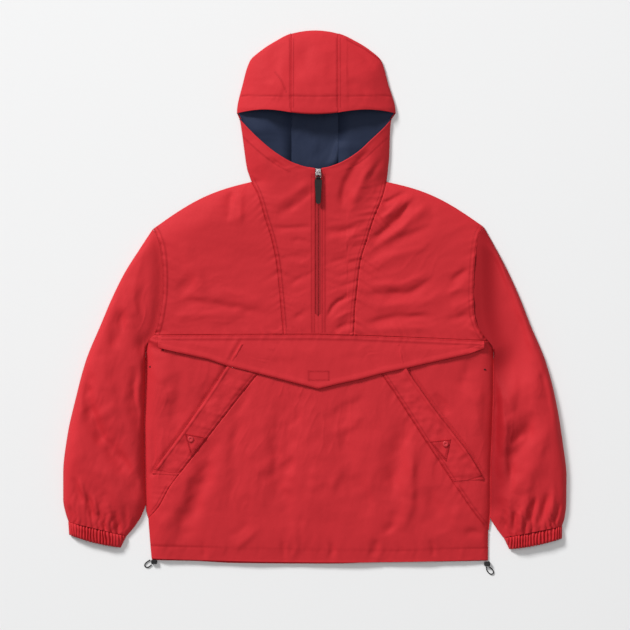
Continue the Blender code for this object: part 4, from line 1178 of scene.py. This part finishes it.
def sleeve_points(side):
    """A flattened tube from the armhole to the cuff: along the top, and back underneath."""
    xy, share, from_cuff, tall = sleeve_plan(side)
    x, y = xy[..., 0], xy[..., 1]
    width = np.linalg.norm(xy[:, -1] - xy[:, 0], axis=1)[:, None]
    from_outer, from_inner = share * width, (1 - share) * width
    if side == LEFT:
        inner_rise = 1 - np.exp(-from_inner / 15)
    else:
        inner_rise = 0.08 * ramp(from_inner, 0, 2) + 0.92 * ramp(from_inner, 2, 40)
    shape = (1 - np.exp(-from_outer / 8)) * inner_rise
    z = SLEEVE_EDGE + (tall - SLEEVE_EDGE) * shape
    off, _ = nearest(x, y, armhole(side))
    off = np.abs(off)
    calm = ramp(np.minimum(from_outer, from_inner), 0, 20)
    folds = fold_relief(x, y, SLEEVE_FOLDS[side], 90 + side)
    lean = 78.0 if side == LEFT else 102.0
    z = z + calm * (FOLD_GAIN * folds + 1.7 * crumple(x, y, 30 + side, lean))
    z = z + (1 - calm) * 0.5 * noise(x, y, 12, 33) * ramp(np.minimum(from_outer, from_inner), 1, 8)
    if side == LEFT:
        z = z - (z - SLEEVE_EDGE) * 0.54 * bell(off - 2, 15)
    else:
        beside = (1 - ramp(off, 34, 110)) * ramp(from_outer, 4, 30)
        z = z + (6.4 + 8.6 * bell(off, 26) - z) * beside
    from_cuff = np.broadcast_to(from_cuff, z.shape)
    u = share * width
    long = 26 + 20 * noise(u, u * 0, 17, 35 + side)
    fan_out = u * (1 - 0.0016 * from_cuff) + 0.5 * from_cuff * noise(u, u * 0, 40, 38)
    z = z + 4.2 * gathers(fan_out / 2.1, from_cuff, 40 + side) * np.exp(-from_cuff / long) * calm
    z = np.maximum(z, SLEEVE_EDGE)
    return ring(xy, z)


def ring(xy, z):
    """A closed section: along the top from outer to inner, and back along the surface."""
    share = np.array((0.01, 0.025, 0.05, 0.1, 0.18, 0.26, 0.34, 0.42, 0.5))
    share = np.concatenate([share, 1 - share[-2::-1]])[::-1]
    count = xy.shape[1]
    width = np.linalg.norm(xy[:, -1] - xy[:, 0], axis=1)[:, None]
    places = np.linspace(0, 1, count)
    along = np.array([np.interp(share, places, row[:, 0]) for row in xy])
    across = np.array([np.interp(share, places, row[:, 1]) for row in xy])
    reach = np.minimum(share, 1 - share) * width
    low = SLEEVE_EDGE * np.exp(-reach / 1.6)
    under = np.stack([along, across, low], -1)
    top = raised(xy, z)
    return np.concatenate([top, under, top[:, :1]], 1)


def cuff_points(side):
    """A pleated ring, gathered on elastic."""
    outer_top, inner_top, outer_low, inner_low = (np.array(p, float) for p in CUFF[side])
    outer_top, inner_top = outer_top + (0, 1.3), inner_top + (0, 1.7)
    share = np.linspace(0, 1, 190)
    rows = []
    for s in np.linspace(0, 1, 16):
        outer = outer_top + (outer_low - outer_top) * s
        inner = inner_top + (inner_low - inner_top) * s
        row = outer + (inner - outer) * share[:, None]
        row[:, 1] -= 3 * s * np.sin(math.pi * share)
        rows.append(row)
    xy = np.array(rows)
    width = np.linalg.norm(xy[:, -1] - xy[:, 0], axis=1)[:, None]
    s = np.linspace(0, 1, 16)[:, None]
    u = share * width
    edge = np.minimum(share, 1 - share) * width
    shape = 1 - np.exp(-edge / 5)
    pinch = 1 - 0.16 * bell(s, 0.12) - 0.2 * bell(1 - s, 0.12)
    z = SLEEVE_EDGE + (13.5 * pinch - SLEEVE_EDGE) * shape
    z = z + 6.0 * gathers(u, 14 * s, 40 + side) * shape * (0.75 + 0.25 * np.sin(math.pi * s))
    z = z + 0.5 * noise(u, 24 * s, 8, 47) * shape
    ripple = gathers(u, 30 + 0 * u, 40 + side)
    xy[..., 1] += (s - 0.35) * ripple * 1.1
    return ring(xy, np.maximum(z, SLEEVE_EDGE))


# ---------------------------------------------------------------- fastenings


TAPE_FROM, TAPE_TO = 0.35, 10.9  # of the zip's middle, sideways
TAPE_DROP, COIL_RISE, COIL_PITCH = 1.0, 0.5, 0.78


def zip_z(x, y):
    """Height of the zip's tapes."""
    return smooth_front(x, y) + 0.3 * crumple(x, y) - TAPE_DROP


def tape_points(side):
    """One tape of the zip, from below its end up to the slider."""
    xs = ZIP_X + np.linspace(*sorted((sign(side) * TAPE_FROM, sign(side) * TAPE_TO)), 15)
    ys = steps(-38.5, 234, 2.6)
    x, y = np.meshgrid(xs, ys)
    z = zip_z(np.full_like(x, ZIP_X), y) + 0.25 * noise(x, y, 9, 52)
    return np.stack([x, y, z - 0.2 * bell(np.abs(x - ZIP_X), 1.5)], -1)


def tooth_places():
    """Coils of the zip, in pairs that lean towards each other."""
    ys = np.arange(-33.5, 221, COIL_PITCH)
    turn = np.where(np.arange(len(ys)) % 2, 1.0, -1.0)
    x = ZIP_X + 0.55 * turn
    z = zip_z(np.full_like(ys, ZIP_X), ys) + COIL_RISE
    points = np.column_stack([x, ys, z])
    directions = np.column_stack([turn, np.full_like(ys, 0.22), np.zeros_like(ys)])
    return frames(points, directions)


SNAP_PROFILE = (  # radius, height
    (0, 0), (5.4, 0), (5.7, 0.3), (5.75, 0.8), (5.5, 1.4), (4.9, 1.8), (4.0, 1.98), (2.6, 2.0),
    (1.9, 1.8), (1.5, 1.4), (1.1, 1.15), (0, 1.05),
)


def snap_mesh():
    """A dished cap, turned from its profile."""
    bm = bmesh.new()
    line = [bm.verts.new((r * MM, 0, z * MM)) for r, z in SNAP_PROFILE]
    edges = [bm.edges.new(ends) for ends in zip(line, line[1:])]
    bmesh.ops.spin(
        bm, geom=line + edges, cent=(0, 0, 0), axis=(0, 0, 1), angle=math.tau, steps=48,
        use_merge=True, use_duplicate=False,
    )
    bmesh.ops.remove_doubles(bm, verts=bm.verts, dist=1e-6)
    bmesh.ops.recalc_face_normals(bm, faces=bm.faces)
    return bm


CORD_RADIUS = 1.0
CORD_ROUTE = {  # x, y on the surface
    LEFT: (
        (-306.6, -491.4), (-309.5, -493.2), (-313.2, -495.8), (-316.0, -499.0), (-316.6, -502.4),
        (-314.2, -504.8), (-310.6, -505.0), (-307.4, -503.2), (-303.8, -500.2),
    ),
    RIGHT: (
        (319.2, -503.9), (319.0, -507.5), (320.2, -511.6), (323.0, -515.4), (327.0, -517.8),
        (330.8, -516.8), (331.8, -513.2), (329.6, -509.0), (326.2, -506.0), (323.0, -503.9),
    ),
}


def route(side, count=90):
    """A smooth curve through the cord's route, in metres."""
    p = np.array(CORD_ROUTE[side], float)
    p = np.vstack([2 * p[0] - p[1], p, 2 * p[-1] - p[-2]])
    made = []
    for s in np.linspace(0, len(p) - 3 - 1e-9, count):
        k, f = int(s), s - int(s)
        a, b, c, d = p[k : k + 4]
        x, y = 0.5 * (
            2 * b + (c - a) * f + (2 * a - 5 * b + 4 * c - d) * f**2 + (3 * b - a - 3 * c + d) * f**3
        )
        made.append((x * MM, y * MM, (CORD_RADIUS + 0.1) * MM))
    return made


# ---------------------------------------------------------------- materials


def node(tree, kind, inputs=(), **settings):
    """A shader node; each input is a value, or another node's output to link."""
    made = tree.nodes.new(kind)
    for name, value in settings.items():
        setattr(made, name, value)
    for socket, value in dict(inputs).items():
        if isinstance(value, bpy.types.NodeSocket):
            tree.links.new(value, made.inputs[socket])
        else:
            made.inputs[socket].default_value = value
    return made


def times_plus(tree, first, second, third, clamp=False):
    """first x second + third."""
    made = node(tree, "ShaderNodeMath", {0: first, 1: second, 2: third}, operation="MULTIPLY_ADD",
                use_clamp=clamp)
    return made.outputs[0]


def lumps(tree, scale, detail, where):
    """Noise texture of that scale."""
    made = node(tree, "ShaderNodeTexNoise", {"Scale": scale, "Detail": detail, "Vector": where})
    return made.outputs["Fac"]


def blended(tree, factor, first, second, blend="MIX"):
    """Two colours mixed by a factor."""
    inputs = {"Factor": factor, "A": first, "B": second}
    made = node(tree, "ShaderNodeMix", inputs, data_type="RGBA", blend_type=blend)
    return made.outputs["Result"]


def group(name, inputs, outputs):
    """An empty node group with its sockets; inputs are name, kind and default."""
    tree = bpy.data.node_groups.new(name, "ShaderNodeTree")
    for label, kind, default in inputs:
        socket = tree.interface.new_socket(label, in_out="INPUT", socket_type=kind)
        if default is not None:
            socket.default_value = default
    for label, kind in outputs:
        tree.interface.new_socket(label, in_out="OUTPUT", socket_type=kind)
    return tree, tree.nodes.new("NodeGroupInput"), tree.nodes.new("NodeGroupOutput")


SURFACE = (  # what every shared surface puts out
    ("Color", "NodeSocketColor"), ("Roughness", "NodeSocketFloat"), ("Normal", "NodeSocketVector"),
)
COLORS = (  # and the two colours between which it changes
    ("Color", "NodeSocketColor", (0.5, 0.5, 0.5, 1)),
    ("Shade", "NodeSocketColor", (0.4, 0.4, 0.4, 1)),
)
# colour by which painted shade multiplies the cloth along the stitches and in the right sleeve's valley
PAINTED_SHADE_TINT = (0.46, 0.06, 0.2, 1)


def put_out(tree, out, color, roughness, normal):
    """Link a group's results to its outputs."""
    for label, value in (("Color", color), ("Roughness", roughness), ("Normal", normal)):
        tree.links.new(value, out.inputs[label])
    return tree


def weave_group():
    """Plain weave: threads both ways, slubs, an uneven dye, and painted shade darkening the creases, from
    the crease attribute.
    """
    tree, given, out = group("Plain Weave", COLORS + (
        ("Threads", "NodeSocketFloat", 700.0), ("Relief", "NodeSocketFloat", 0.3),
        ("Roughness", "NodeSocketFloat", 0.6),
    ), SURFACE)
    given, where = given.outputs, node(tree, "ShaderNodeTexCoord").outputs["Object"]
    threads = node(tree, "ShaderNodeMath", operation="MAXIMUM")
    for k, direction in enumerate("XY"):
        inputs = {"Distortion": 1.2, "Detail": 1.0, "Vector": where, "Scale": given["Threads"]}
        wave = node(tree, "ShaderNodeTexWave", inputs, wave_type="BANDS", bands_direction=direction)
        tree.links.new(wave.outputs["Fac"], threads.inputs[k])
    slub = lumps(tree, 420, 3, where)
    height = times_plus(tree, threads.outputs[0], 0.6, slub)
    inputs = {"Distance": 0.00012, "Strength": given["Relief"], "Height": height}
    bump = node(tree, "ShaderNodeBump", inputs)
    dye = times_plus(tree, lumps(tree, 14, 5, where), 0.7, -0.1, clamp=True)
    uneven = times_plus(tree, slub, 0.5, dye, clamp=True)
    color = blended(tree, uneven, given["Color"], given["Shade"])
    # painted shade: the crease attribute darkens the colour along the stitches and in the right sleeve's
    # valley
    crease = node(tree, "ShaderNodeAttribute", attribute_name="crease")
    color = blended(tree, crease.outputs["Fac"], color, PAINTED_SHADE_TINT, "MULTIPLY")
    roughness = times_plus(tree, slub, 0.16, given["Roughness"])
    return put_out(tree, out, color, roughness, bump.outputs["Normal"])


def grain_group():
    """A moulded or rubbed surface: fine grain, patches of wear and a slight change of shade."""
    tree, given, out = group("Fine Grain", COLORS + (
        ("Scale", "NodeSocketFloat", 900.0), ("Stretch", "NodeSocketFloat", 1.0),
        ("Relief", "NodeSocketFloat", 0.2), ("Roughness", "NodeSocketFloat", 0.4),
    ), SURFACE)
    given, where = given.outputs, node(tree, "ShaderNodeTexCoord").outputs["Object"]
    parts = node(tree, "ShaderNodeCombineXYZ", {"X": given["Stretch"], "Y": 1, "Z": 1})
    inputs = {0: where, 1: parts.outputs[0]}
    stretched = node(tree, "ShaderNodeVectorMath", inputs, operation="MULTIPLY")
    fine = lumps(tree, given["Scale"], 4, stretched.outputs[0])
    patches = lumps(tree, 160, 2, where)
    inputs = {"Distance": 0.00008, "Strength": given["Relief"], "Height": fine}
    bump = node(tree, "ShaderNodeBump", inputs)
    color = blended(tree, patches, given["Color"], given["Shade"])
    roughness = times_plus(tree, patches, 0.14, given["Roughness"])
    return put_out(tree, out, color, roughness, bump.outputs["Normal"])


def shared_group(name, make):
    """The node group of that name, made once."""
    return bpy.data.node_groups.get(name) or make()


def material(name, tree, color, shade, values, shader_values):
    """A material whose colour, roughness and normal come from a shared group."""
    made = bpy.data.materials.get(name)
    if made:
        return made
    made = bpy.data.materials.new(name)
    made.use_nodes = True
    made.diffuse_color = (*color, 1)
    shader = made.node_tree.nodes["Principled BSDF"]
    inputs = {"Color": (*color, 1), "Shade": (*shade, 1), **values}
    effect = node(made.node_tree, "ShaderNodeGroup", inputs, node_tree=tree)
    for label, value in shader_values.items():
        shader.inputs[label].default_value = value
    for source, target in (("Color", "Base Color"), ("Roughness", "Roughness"), ("Normal", "Normal")):
        made.node_tree.links.new(effect.outputs[source], shader.inputs[target])
    return made


def darker(color, by):
    """The colour times a number below 1."""
    return tuple(by * channel for channel in color)


def woven(name, color, threads=700, relief=0.35, roughness=0.62):
    """A matt cloth."""
    tree = shared_group("Plain Weave", weave_group)
    values = {"Threads": threads, "Relief": relief, "Roughness": roughness}
    shown = {"Specular IOR Level": 0.16}
    return material(name, tree, color, darker(color, 0.86), values, shown)


def moulded(name, color, roughness, metallic=0.0, scale=900, stretch=1.0, relief=0.2, coat=0.0):
    """A moulded, cast or painted finish."""
    tree = shared_group("Fine Grain", grain_group)
    values = {"Scale": scale, "Stretch": stretch, "Relief": relief, "Roughness": roughness}
    shown = {"Metallic": metallic, "Coat Weight": coat, "Coat Roughness": 0.15, "Specular IOR Level": 0.3}
    return material(name, tree, color, darker(color, 0.8), values, shown)


def shell():
    """The outer cloth."""
    return woven("Outer Nylon", tuple(bpy.context.scene.anorak.shell_color))


def lining():
    """The hood's lining."""
    return woven("Lining Cloth", tuple(bpy.context.scene.anorak.lining_color), threads=900, relief=0.25)


def sewing_thread():
    """Thread a little brighter than the outer cloth."""
    color = tuple(min(1, 1.06 * c) for c in bpy.context.scene.anorak.shell_color)
    return woven("Sewing Thread", color, threads=1800, relief=0.2, roughness=0.42)


# ---------------------------------------------------------------- pieces


class AnorakSettings(bpy.types.PropertyGroup):
    """Sizes and colours of the garment and of its light."""

    shell_color: FloatVectorProperty(
        name="Outer Colour", description="Dye of the outer cloth", subtype="COLOR", size=3,
        min=0, max=1, default=(0.56, 0.022, 0.030),
    )
    lining_color: FloatVectorProperty(
        name="Lining Colour", description="Dye of the hood's lining", subtype="COLOR", size=3,
        min=0, max=1, default=(0.020, 0.029, 0.062),
    )
    cloth_thickness: FloatProperty(
        name="Cloth Thickness", description="Thickness of the panels", unit="LENGTH",
        min=0.0003, max=0.0012, default=0.0009,
    )
    stitch_length: FloatProperty(
        name="Stitch Length", description="From one stitch of the seams to the next, in millimetres",
        min=2, max=6, default=3.1,
    )
    key_power: FloatProperty(
        name="Key Light", description="Power of the large soft light", unit="POWER",
        min=0, max=1500, default=455,
    )
    sky: FloatProperty(
        name="Sky", description="Brightness of the light from all round", min=0, max=3, default=0.27,
    )


class ANORAK_OT_body(bpy.types.Operator):
    """Back, lower front, side panels and yokes"""

    bl_idname = "anorak.body"
    bl_label = "Body"

    def execute(self, context):
        cloth("back", back_points(), shell(), "back_panel")
        cloth("lower_front", lower_center_points(), shell(), "front_lower_center")
        for side in (LEFT, RIGHT):
            flip = side == RIGHT
            yoke = f"yoke_{named(side)}"
            cloth(f"upper_front_{named(side)}", yoke_points(side), shell(), yoke, flip=flip)
            panel = f"front_lower_side_{named(side)}"
            cloth(f"side_front_{named(side)}", side_points(side), shell(), panel, flip=flip)
        return {"FINISHED"}


class ANORAK_OT_pockets(bpy.types.Operator):
    """Pocket fronts, their tabs and the flap"""

    bl_idname = "anorak.pockets"
    bl_label = "Pockets"

    def execute(self, context):
        cloth("flap", flap_points(), shell(), "pocket_flap")
        for side in (LEFT, RIGHT):
            cloth(f"pocket_{named(side)}", pocket_points(side), shell(), f"pocket_front_{named(side)}",
                  flip=side == LEFT)
            cloth(f"tab_{named(side)}", tab_points(side), shell(), f"snap_tab_{named(side)}",
                  flip=True)
        return {"FINISHED"}


class ANORAK_OT_hood(bpy.types.Operator):
    """Front strips, hood and its lining"""

    bl_idname = "anorak.hood"
    bl_label = "Hood"

    def execute(self, context):
        for side in (LEFT, RIGHT):
            flip = side == RIGHT
            points, holes = hood_side_points(side)
            cloth(f"hood_{named(side)}", points, shell(), f"front_hood_{named(side)}", flip=flip,
                  holes=holes)
            points, holes = hood_side_points(side, LINING_INSET, from_neck=True)
            cloth(f"lining_{named(side)}", lining_relief(points), lining(), f"hood_lining_{named(side)}",
                  "lining_cloth", flip, holes)
        cloth("crown", turned_under(center_points()), shell(), "hood_center", flip=True)
        points = lining_relief(center_points(LINING_INSET))
        cloth("crown_lining", points, lining(), "hood_lining_center", "lining_cloth", True)
        return {"FINISHED"}


class ANORAK_OT_sleeves(bpy.types.Operator):
    """Sleeves and their gathered cuffs"""

    bl_idname = "anorak.sleeves"
    bl_label = "Sleeves"

    def execute(self, context):
        for side in (LEFT, RIGHT):
            flip = side == LEFT
            cloth(f"arm_{named(side)}", sleeve_points(side), shell(), f"sleeve_{named(side)}", flip=flip)
            cloth(f"wrist_{named(side)}", cuff_points(side), shell(), f"cuff_{named(side)}", flip=flip)
        return {"FINISHED"}


class ANORAK_OT_zip(bpy.types.Operator):
    """Zip tapes and coil, and the finish of the slider and its pull"""

    bl_idname = "anorak.zip"
    bl_label = "Zip"

    def execute(self, context):
        color = tuple(context.scene.anorak.shell_color)
        tape = woven("Zip Tape", darker(color, 0.72), threads=500, relief=0.6, roughness=0.6)
        for side in (LEFT, RIGHT):
            cloth(f"tape_{named(side)}", tape_points(side), tape, f"zip_tape_{named(side)}", "zip_tape")
        coil = moulded("Zip Coil", darker(color, 0.85), 0.6, relief=0.1)
        teeth = repeat("coil", thread(2.0, 0.42), tooth_places(), coil)
        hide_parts("zip_coil")
        metal = moulded("Zip Metal", (0.40, 0.36, 0.36), 0.3, metallic=1.0, scale=500, stretch=9.0)
        rubber = moulded("Pull Rubber", (0.010, 0.006, 0.006), 0.5, scale=1500, relief=0.45)
        for name, look in (("zip_slider", metal), ("zip_puller", metal), ("zip_pull_tab", rubber)):
            repaint(name, look)
        return {"FINISHED"}


def repaint(name, look):
    """A new finish on a CAD node that is shown as it is."""
    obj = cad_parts[name]
    obj.data.materials.clear()
    obj.data.materials.append(look)


class ANORAK_OT_trim(bpy.types.Operator):
    """Snap caps, and the finish of the cord locks"""

    bl_idname = "anorak.trim"
    bl_label = "Trim"

    def execute(self, context):
        color = tuple(context.scene.anorak.shell_color)
        enamel = moulded("Snap Enamel", color, 0.4, relief=0.05, coat=0.05)
        plastic = moulded("Lock Plastic", (0.012, 0.012, 0.013), 0.34, relief=0.3)
        for side in (LEFT, RIGHT):
            x, y = TABS[side][3]
            z = float(tab_z(side, np.array([x]), np.array([y]))[0]) + 0.3
            at = np.eye(4)
            at[:3, 3] = np.array((x, y, z)) * MM
            cap = repeat(f"stud_{named(side)}", snap_mesh(), [at], enamel)
            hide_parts(f"snap_{named(side)}")
            repaint(f"cord_lock_{named(side)}", plastic)
        return {"FINISHED"}


def hem_cord(side):
    """An elastic cord that comes out of the hem and lies on the surface."""
    points = route(side)
    curve = bpy.data.curves.new("cord", "CURVE")
    curve.dimensions = "3D"
    curve.bevel_depth = CORD_RADIUS * MM
    curve.bevel_resolution = 4
    curve.use_fill_caps = True
    spline = curve.splines.new("POLY")
    spline.points.add(len(points) - 1)
    for point, co in zip(spline.points, points):
        point.co = (*co, 1)
    braid = woven("Elastic Cord", (0.016, 0.015, 0.016), threads=420, relief=0.9, roughness=0.7)
    obj = place(f"cord_{named(side)}", curve, braid)
    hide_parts(f"hem_cord_{named(side)}")


class ANORAK_OT_cords(bpy.types.Operator):
    """Hem cords"""

    bl_idname = "anorak.cords"
    bl_label = "Hem Cords"

    def execute(self, context):
        for side in (LEFT, RIGHT):
            hem_cord(side)
        return {"FINISHED"}


def all_on(z, *more):
    """A surface function of (x, y) with its first arguments given."""
    return lambda x, y: z(*more, x, y)


def yoke_z(side, x, y):
    """Outer face of a yoke, with its band beside the armhole."""
    return front(x, y, (ARMHOLE_SEAM[side],))


def seam_lines():
    """Every stitched line: the line, the surface that it lies on, and the panels that carry it."""
    lines = []
    hood, strip = all_on(hood_z), ("front_hood", "yoke")
    for side in (LEFT, RIGHT):
        inward = -sign(side)
        line = princess(side)
        lines += [(offset(line, inward * by)[1:], hood, strip) for by in (1.7, 6.3)]
        line = armhole(side)[2:]
        yoke = all_on(yoke_z, side)
        lines += [(offset(line, inward * by), yoke, ("yoke",)) for by in (1.7, 8.3)]
        line = diagonal(side)[1:-1]
        pocket = all_on(pocket_z, side)
        high, low = line[line[:, 1] > -352], line[line[:, 1] <= -352]
        for by in (1.7, 6.3):
            lines.append((offset(high, -inward * by), pocket, ("pocket_front",)))
            lines.append((offset(low, -inward * by), side_z, ("front_lower_side",)))
        mouth = trace(pair(MOUTH, side), 10)[4:-1]
        lines += [(offset(mouth, inward * by), pocket, ("pocket_front",)) for by in (1.7, 6.3)]
        lines.append((np.array(POCKET_BOTTOM[side], float), pocket, ("pocket_front",)))
        for by in (-3.3, 3.3):
            seam = trace(offset(hood_seam(side), by), 12)[1:-1]
            lines.append((seam, hood, ("front_hood", "hood_center")))
        casing = offset(opening(side), sign(side) * CASING)[4:-3]
        lines.append((casing, hood, ("front_hood",)))
        for by in (1.8, 6.8):
            x = ZIP_X + sign(side) * (ZIP_SLOT + by)
            lines.append((np.array([(x, -68.0), (x, 60.0), (x, 226.0)]), hood, ("front_hood",)))
        first, second, point = (np.array(p, float) for p in TABS[side][:3])
        middle = (first + second + point) / 3
        for share in (0.06, 0.2):
            corners = [c + (middle - c) * share for c in (first, point, second, first)]
            for ends in zip(corners, corners[1:]):
                lines.append((np.array(ends), all_on(tab_z, side), ("snap_tab",)))
    for line in DARTS:
        lines.append((np.array(line, float), hood, ("front_hood", "hood_center")))
    xs = np.linspace(-137, 140, 30)
    lines.append((np.column_stack([xs, brim_edge(xs) + BRIM_BAND]), hood, ("front_hood", "hood_center")))
    lines.append((np.array(HEM_STITCH, float), lower_center_z, ("front_lower_center",)))
    chest = np.array([(x, float(chest_y(x))) for x in np.linspace(-284, 308, 40)])
    lines += [(chest - (0, by), flap_z, ("pocket_flap",)) for by in (1.7, 8.3)]
    edge = np.array(FLAP_EDGE, float)[1:-1] + (0, 2.2)
    lines += [(run, flap_z, ("pocket_flap",)) for run in (edge[:6], edge[5:])]
    box = np.array(CLOSURE_BOX, float)
    lines += [(box[k : k + 2], flap_z, ("pocket_flap",)) for k in range(4)]
    return lines


def eyelets(look):
    """Small holes under the arms, each in a ring of stitches; each hole is drawn as a dark disc of painted
    shade.
    """
    rings, outwards, holes = [], [], []
    for x, y in EYELETS:
        z = float(side_z(np.array([x]), np.array([y]))[0])
        for turn in np.linspace(0, math.tau, EYELET_STITCHES, endpoint=False):
            out = np.array([math.cos(turn), math.sin(turn), 0])
            rings.append((x, y, z) + EYELET_RADIUS * out)
            outwards.append(out)
        holes.append((x, y, z))
    places = frames(np.array(rings) + (0, 0, 0.2), np.array(outwards))
    repeat("eyelet_stitches", thread(1.7, 0.34), places, look)
    # painted shade: a dark disc stands in for the shadowed inside of each hole
    disc = bmesh.new()
    bmesh.ops.create_cone(
        disc, cap_ends=True, segments=20, radius1=1.8 * MM, radius2=1.6 * MM, depth=0.5 * MM,
    )
    places = frames(np.array(holes) + (0, 0, 0.3), np.tile((1.0, 0, 0), (len(holes), 1)))
    repeat("eyelet_shade_discs", disc, places, moulded("Eyelet Hole Painted Shade", (0.02, 0.006, 0.008), 0.8))


class ANORAK_OT_stitching(bpy.types.Operator):
    """Topstitching of every seam, the closure box and the eyelets"""

    bl_idname = "anorak.stitching"
    bl_label = "Stitching"

    def execute(self, context):
        pitch = context.scene.anorak.stitch_length
        lines = seam_lines()
        half = len(lines) // 2
        look = sewing_thread()
        for name, part in (("stitches_a", lines[:half]), ("stitches_b", lines[half:])):
            places = np.concatenate([stitch_places(line, z, pitch) for line, z, _ in part])
            repeat(name, thread(pitch * 0.76), places, look)
        eyelets(look)
        return {"FINISHED"}



def soft_light(name, location, target, size, power):
    """A large square lamp aimed at a point."""
    lamp = bpy.data.lights.new(name, "AREA")
    lamp.shape = "SQUARE"
    lamp.size = size
    lamp.energy = power
    obj = bpy.data.objects.new(name, lamp)
    obj.location = location
    obj.rotation_euler = (Vector(target) - Vector(location)).to_track_quat("-Z", "Y").to_euler()
    bpy.context.scene.collection.objects.link(obj)


VIEW_CENTRE_Y, VIEW_WIDTH, VIEW_DISTANCE = -0.0359, 1.1718, 5.0
LIGHTS = {  # place, size, share of the key light's power
    "key": ((-9.5, 11.5, 9.1), 4.0, 7.3),
    "fill": ((0.6, 0.4, 4.6), 3.0, 0.12),
}


class ANORAK_OT_stage(bpy.types.Operator):
    """Pale floor, soft light from the upper left and the camera straight above"""

    bl_idname = "anorak.stage"
    bl_label = "Stage"

    def execute(self, context):
        scene = context.scene
        settings = scene.anorak
        bm = bmesh.new()
        bmesh.ops.create_grid(bm, x_segments=1, y_segments=1, size=6)
        bmesh.ops.translate(bm, vec=(0, 0, -0.0004), verts=bm.verts)
        mesh = bpy.data.meshes.new("floor")
        bm.to_mesh(mesh)
        bm.free()
        floor = bpy.data.objects.new("floor", mesh)
        scene.collection.objects.link(floor)
        paper = moulded("Backdrop Paper", (0.83, 0.83, 0.83), 0.8, scale=300, relief=0.02)
        paper.node_tree.nodes["Group"].inputs["Shade"].default_value = (0.825, 0.825, 0.825, 1)
        floor.data.materials.append(paper)
        for name, (location, size, share) in LIGHTS.items():
            soft_light(name, location, (0, 0, 0), size, settings.key_power * share)
        world = bpy.data.worlds.new("studio")
        world.use_nodes = True
        sky = world.node_tree.nodes["Background"]
        sky.inputs["Color"].default_value = (0.98, 0.99, 1.0, 1)
        sky.inputs["Strength"].default_value = settings.sky
        scene.world = world
        camera = bpy.data.cameras.new("camera")
        camera.sensor_width = 36
        camera.lens = 36 * VIEW_DISTANCE / VIEW_WIDTH
        obj = bpy.data.objects.new("camera", camera)
        obj.location = (0, VIEW_CENTRE_Y, VIEW_DISTANCE)
        scene.collection.objects.link(obj)
        scene.camera = obj
        scene.view_settings.view_transform = "Standard"
        return {"FINISHED"}


OPERATORS = (
    ANORAK_OT_stage, ANORAK_OT_cords, ANORAK_OT_body, ANORAK_OT_pockets, ANORAK_OT_hood,
    ANORAK_OT_sleeves, ANORAK_OT_zip, ANORAK_OT_trim, ANORAK_OT_stitching,
)


class ANORAK_PT_panel(bpy.types.Panel):
    bl_idname = "ANORAK_PT_panel"
    bl_label = "Anorak"
    bl_space_type = "VIEW_3D"
    bl_region_type = "UI"
    bl_category = "Anorak"

    def draw(self, context):
        settings = context.scene.anorak
        for name in ("shell_color", "lining_color", "cloth_thickness", "stitch_length", "key_power", "sky"):
            self.layout.prop(settings, name)
        for operator in OPERATORS:
            self.layout.operator(operator.bl_idname)


CLASSES = (AnorakSettings, *OPERATORS, ANORAK_PT_panel)


def register():
    for made in CLASSES:
        bpy.utils.register_class(made)
    bpy.types.Scene.anorak = PointerProperty(type=AnorakSettings)


def unregister():
    del bpy.types.Scene.anorak
    for made in reversed(CLASSES):
        bpy.utils.unregister_class(made)


def main():
    register()
    for operator in OPERATORS:
        group_name, name = operator.bl_idname.split(".")
        getattr(getattr(bpy.ops, group_name), name)()


if __name__ == "__main__":
    main()
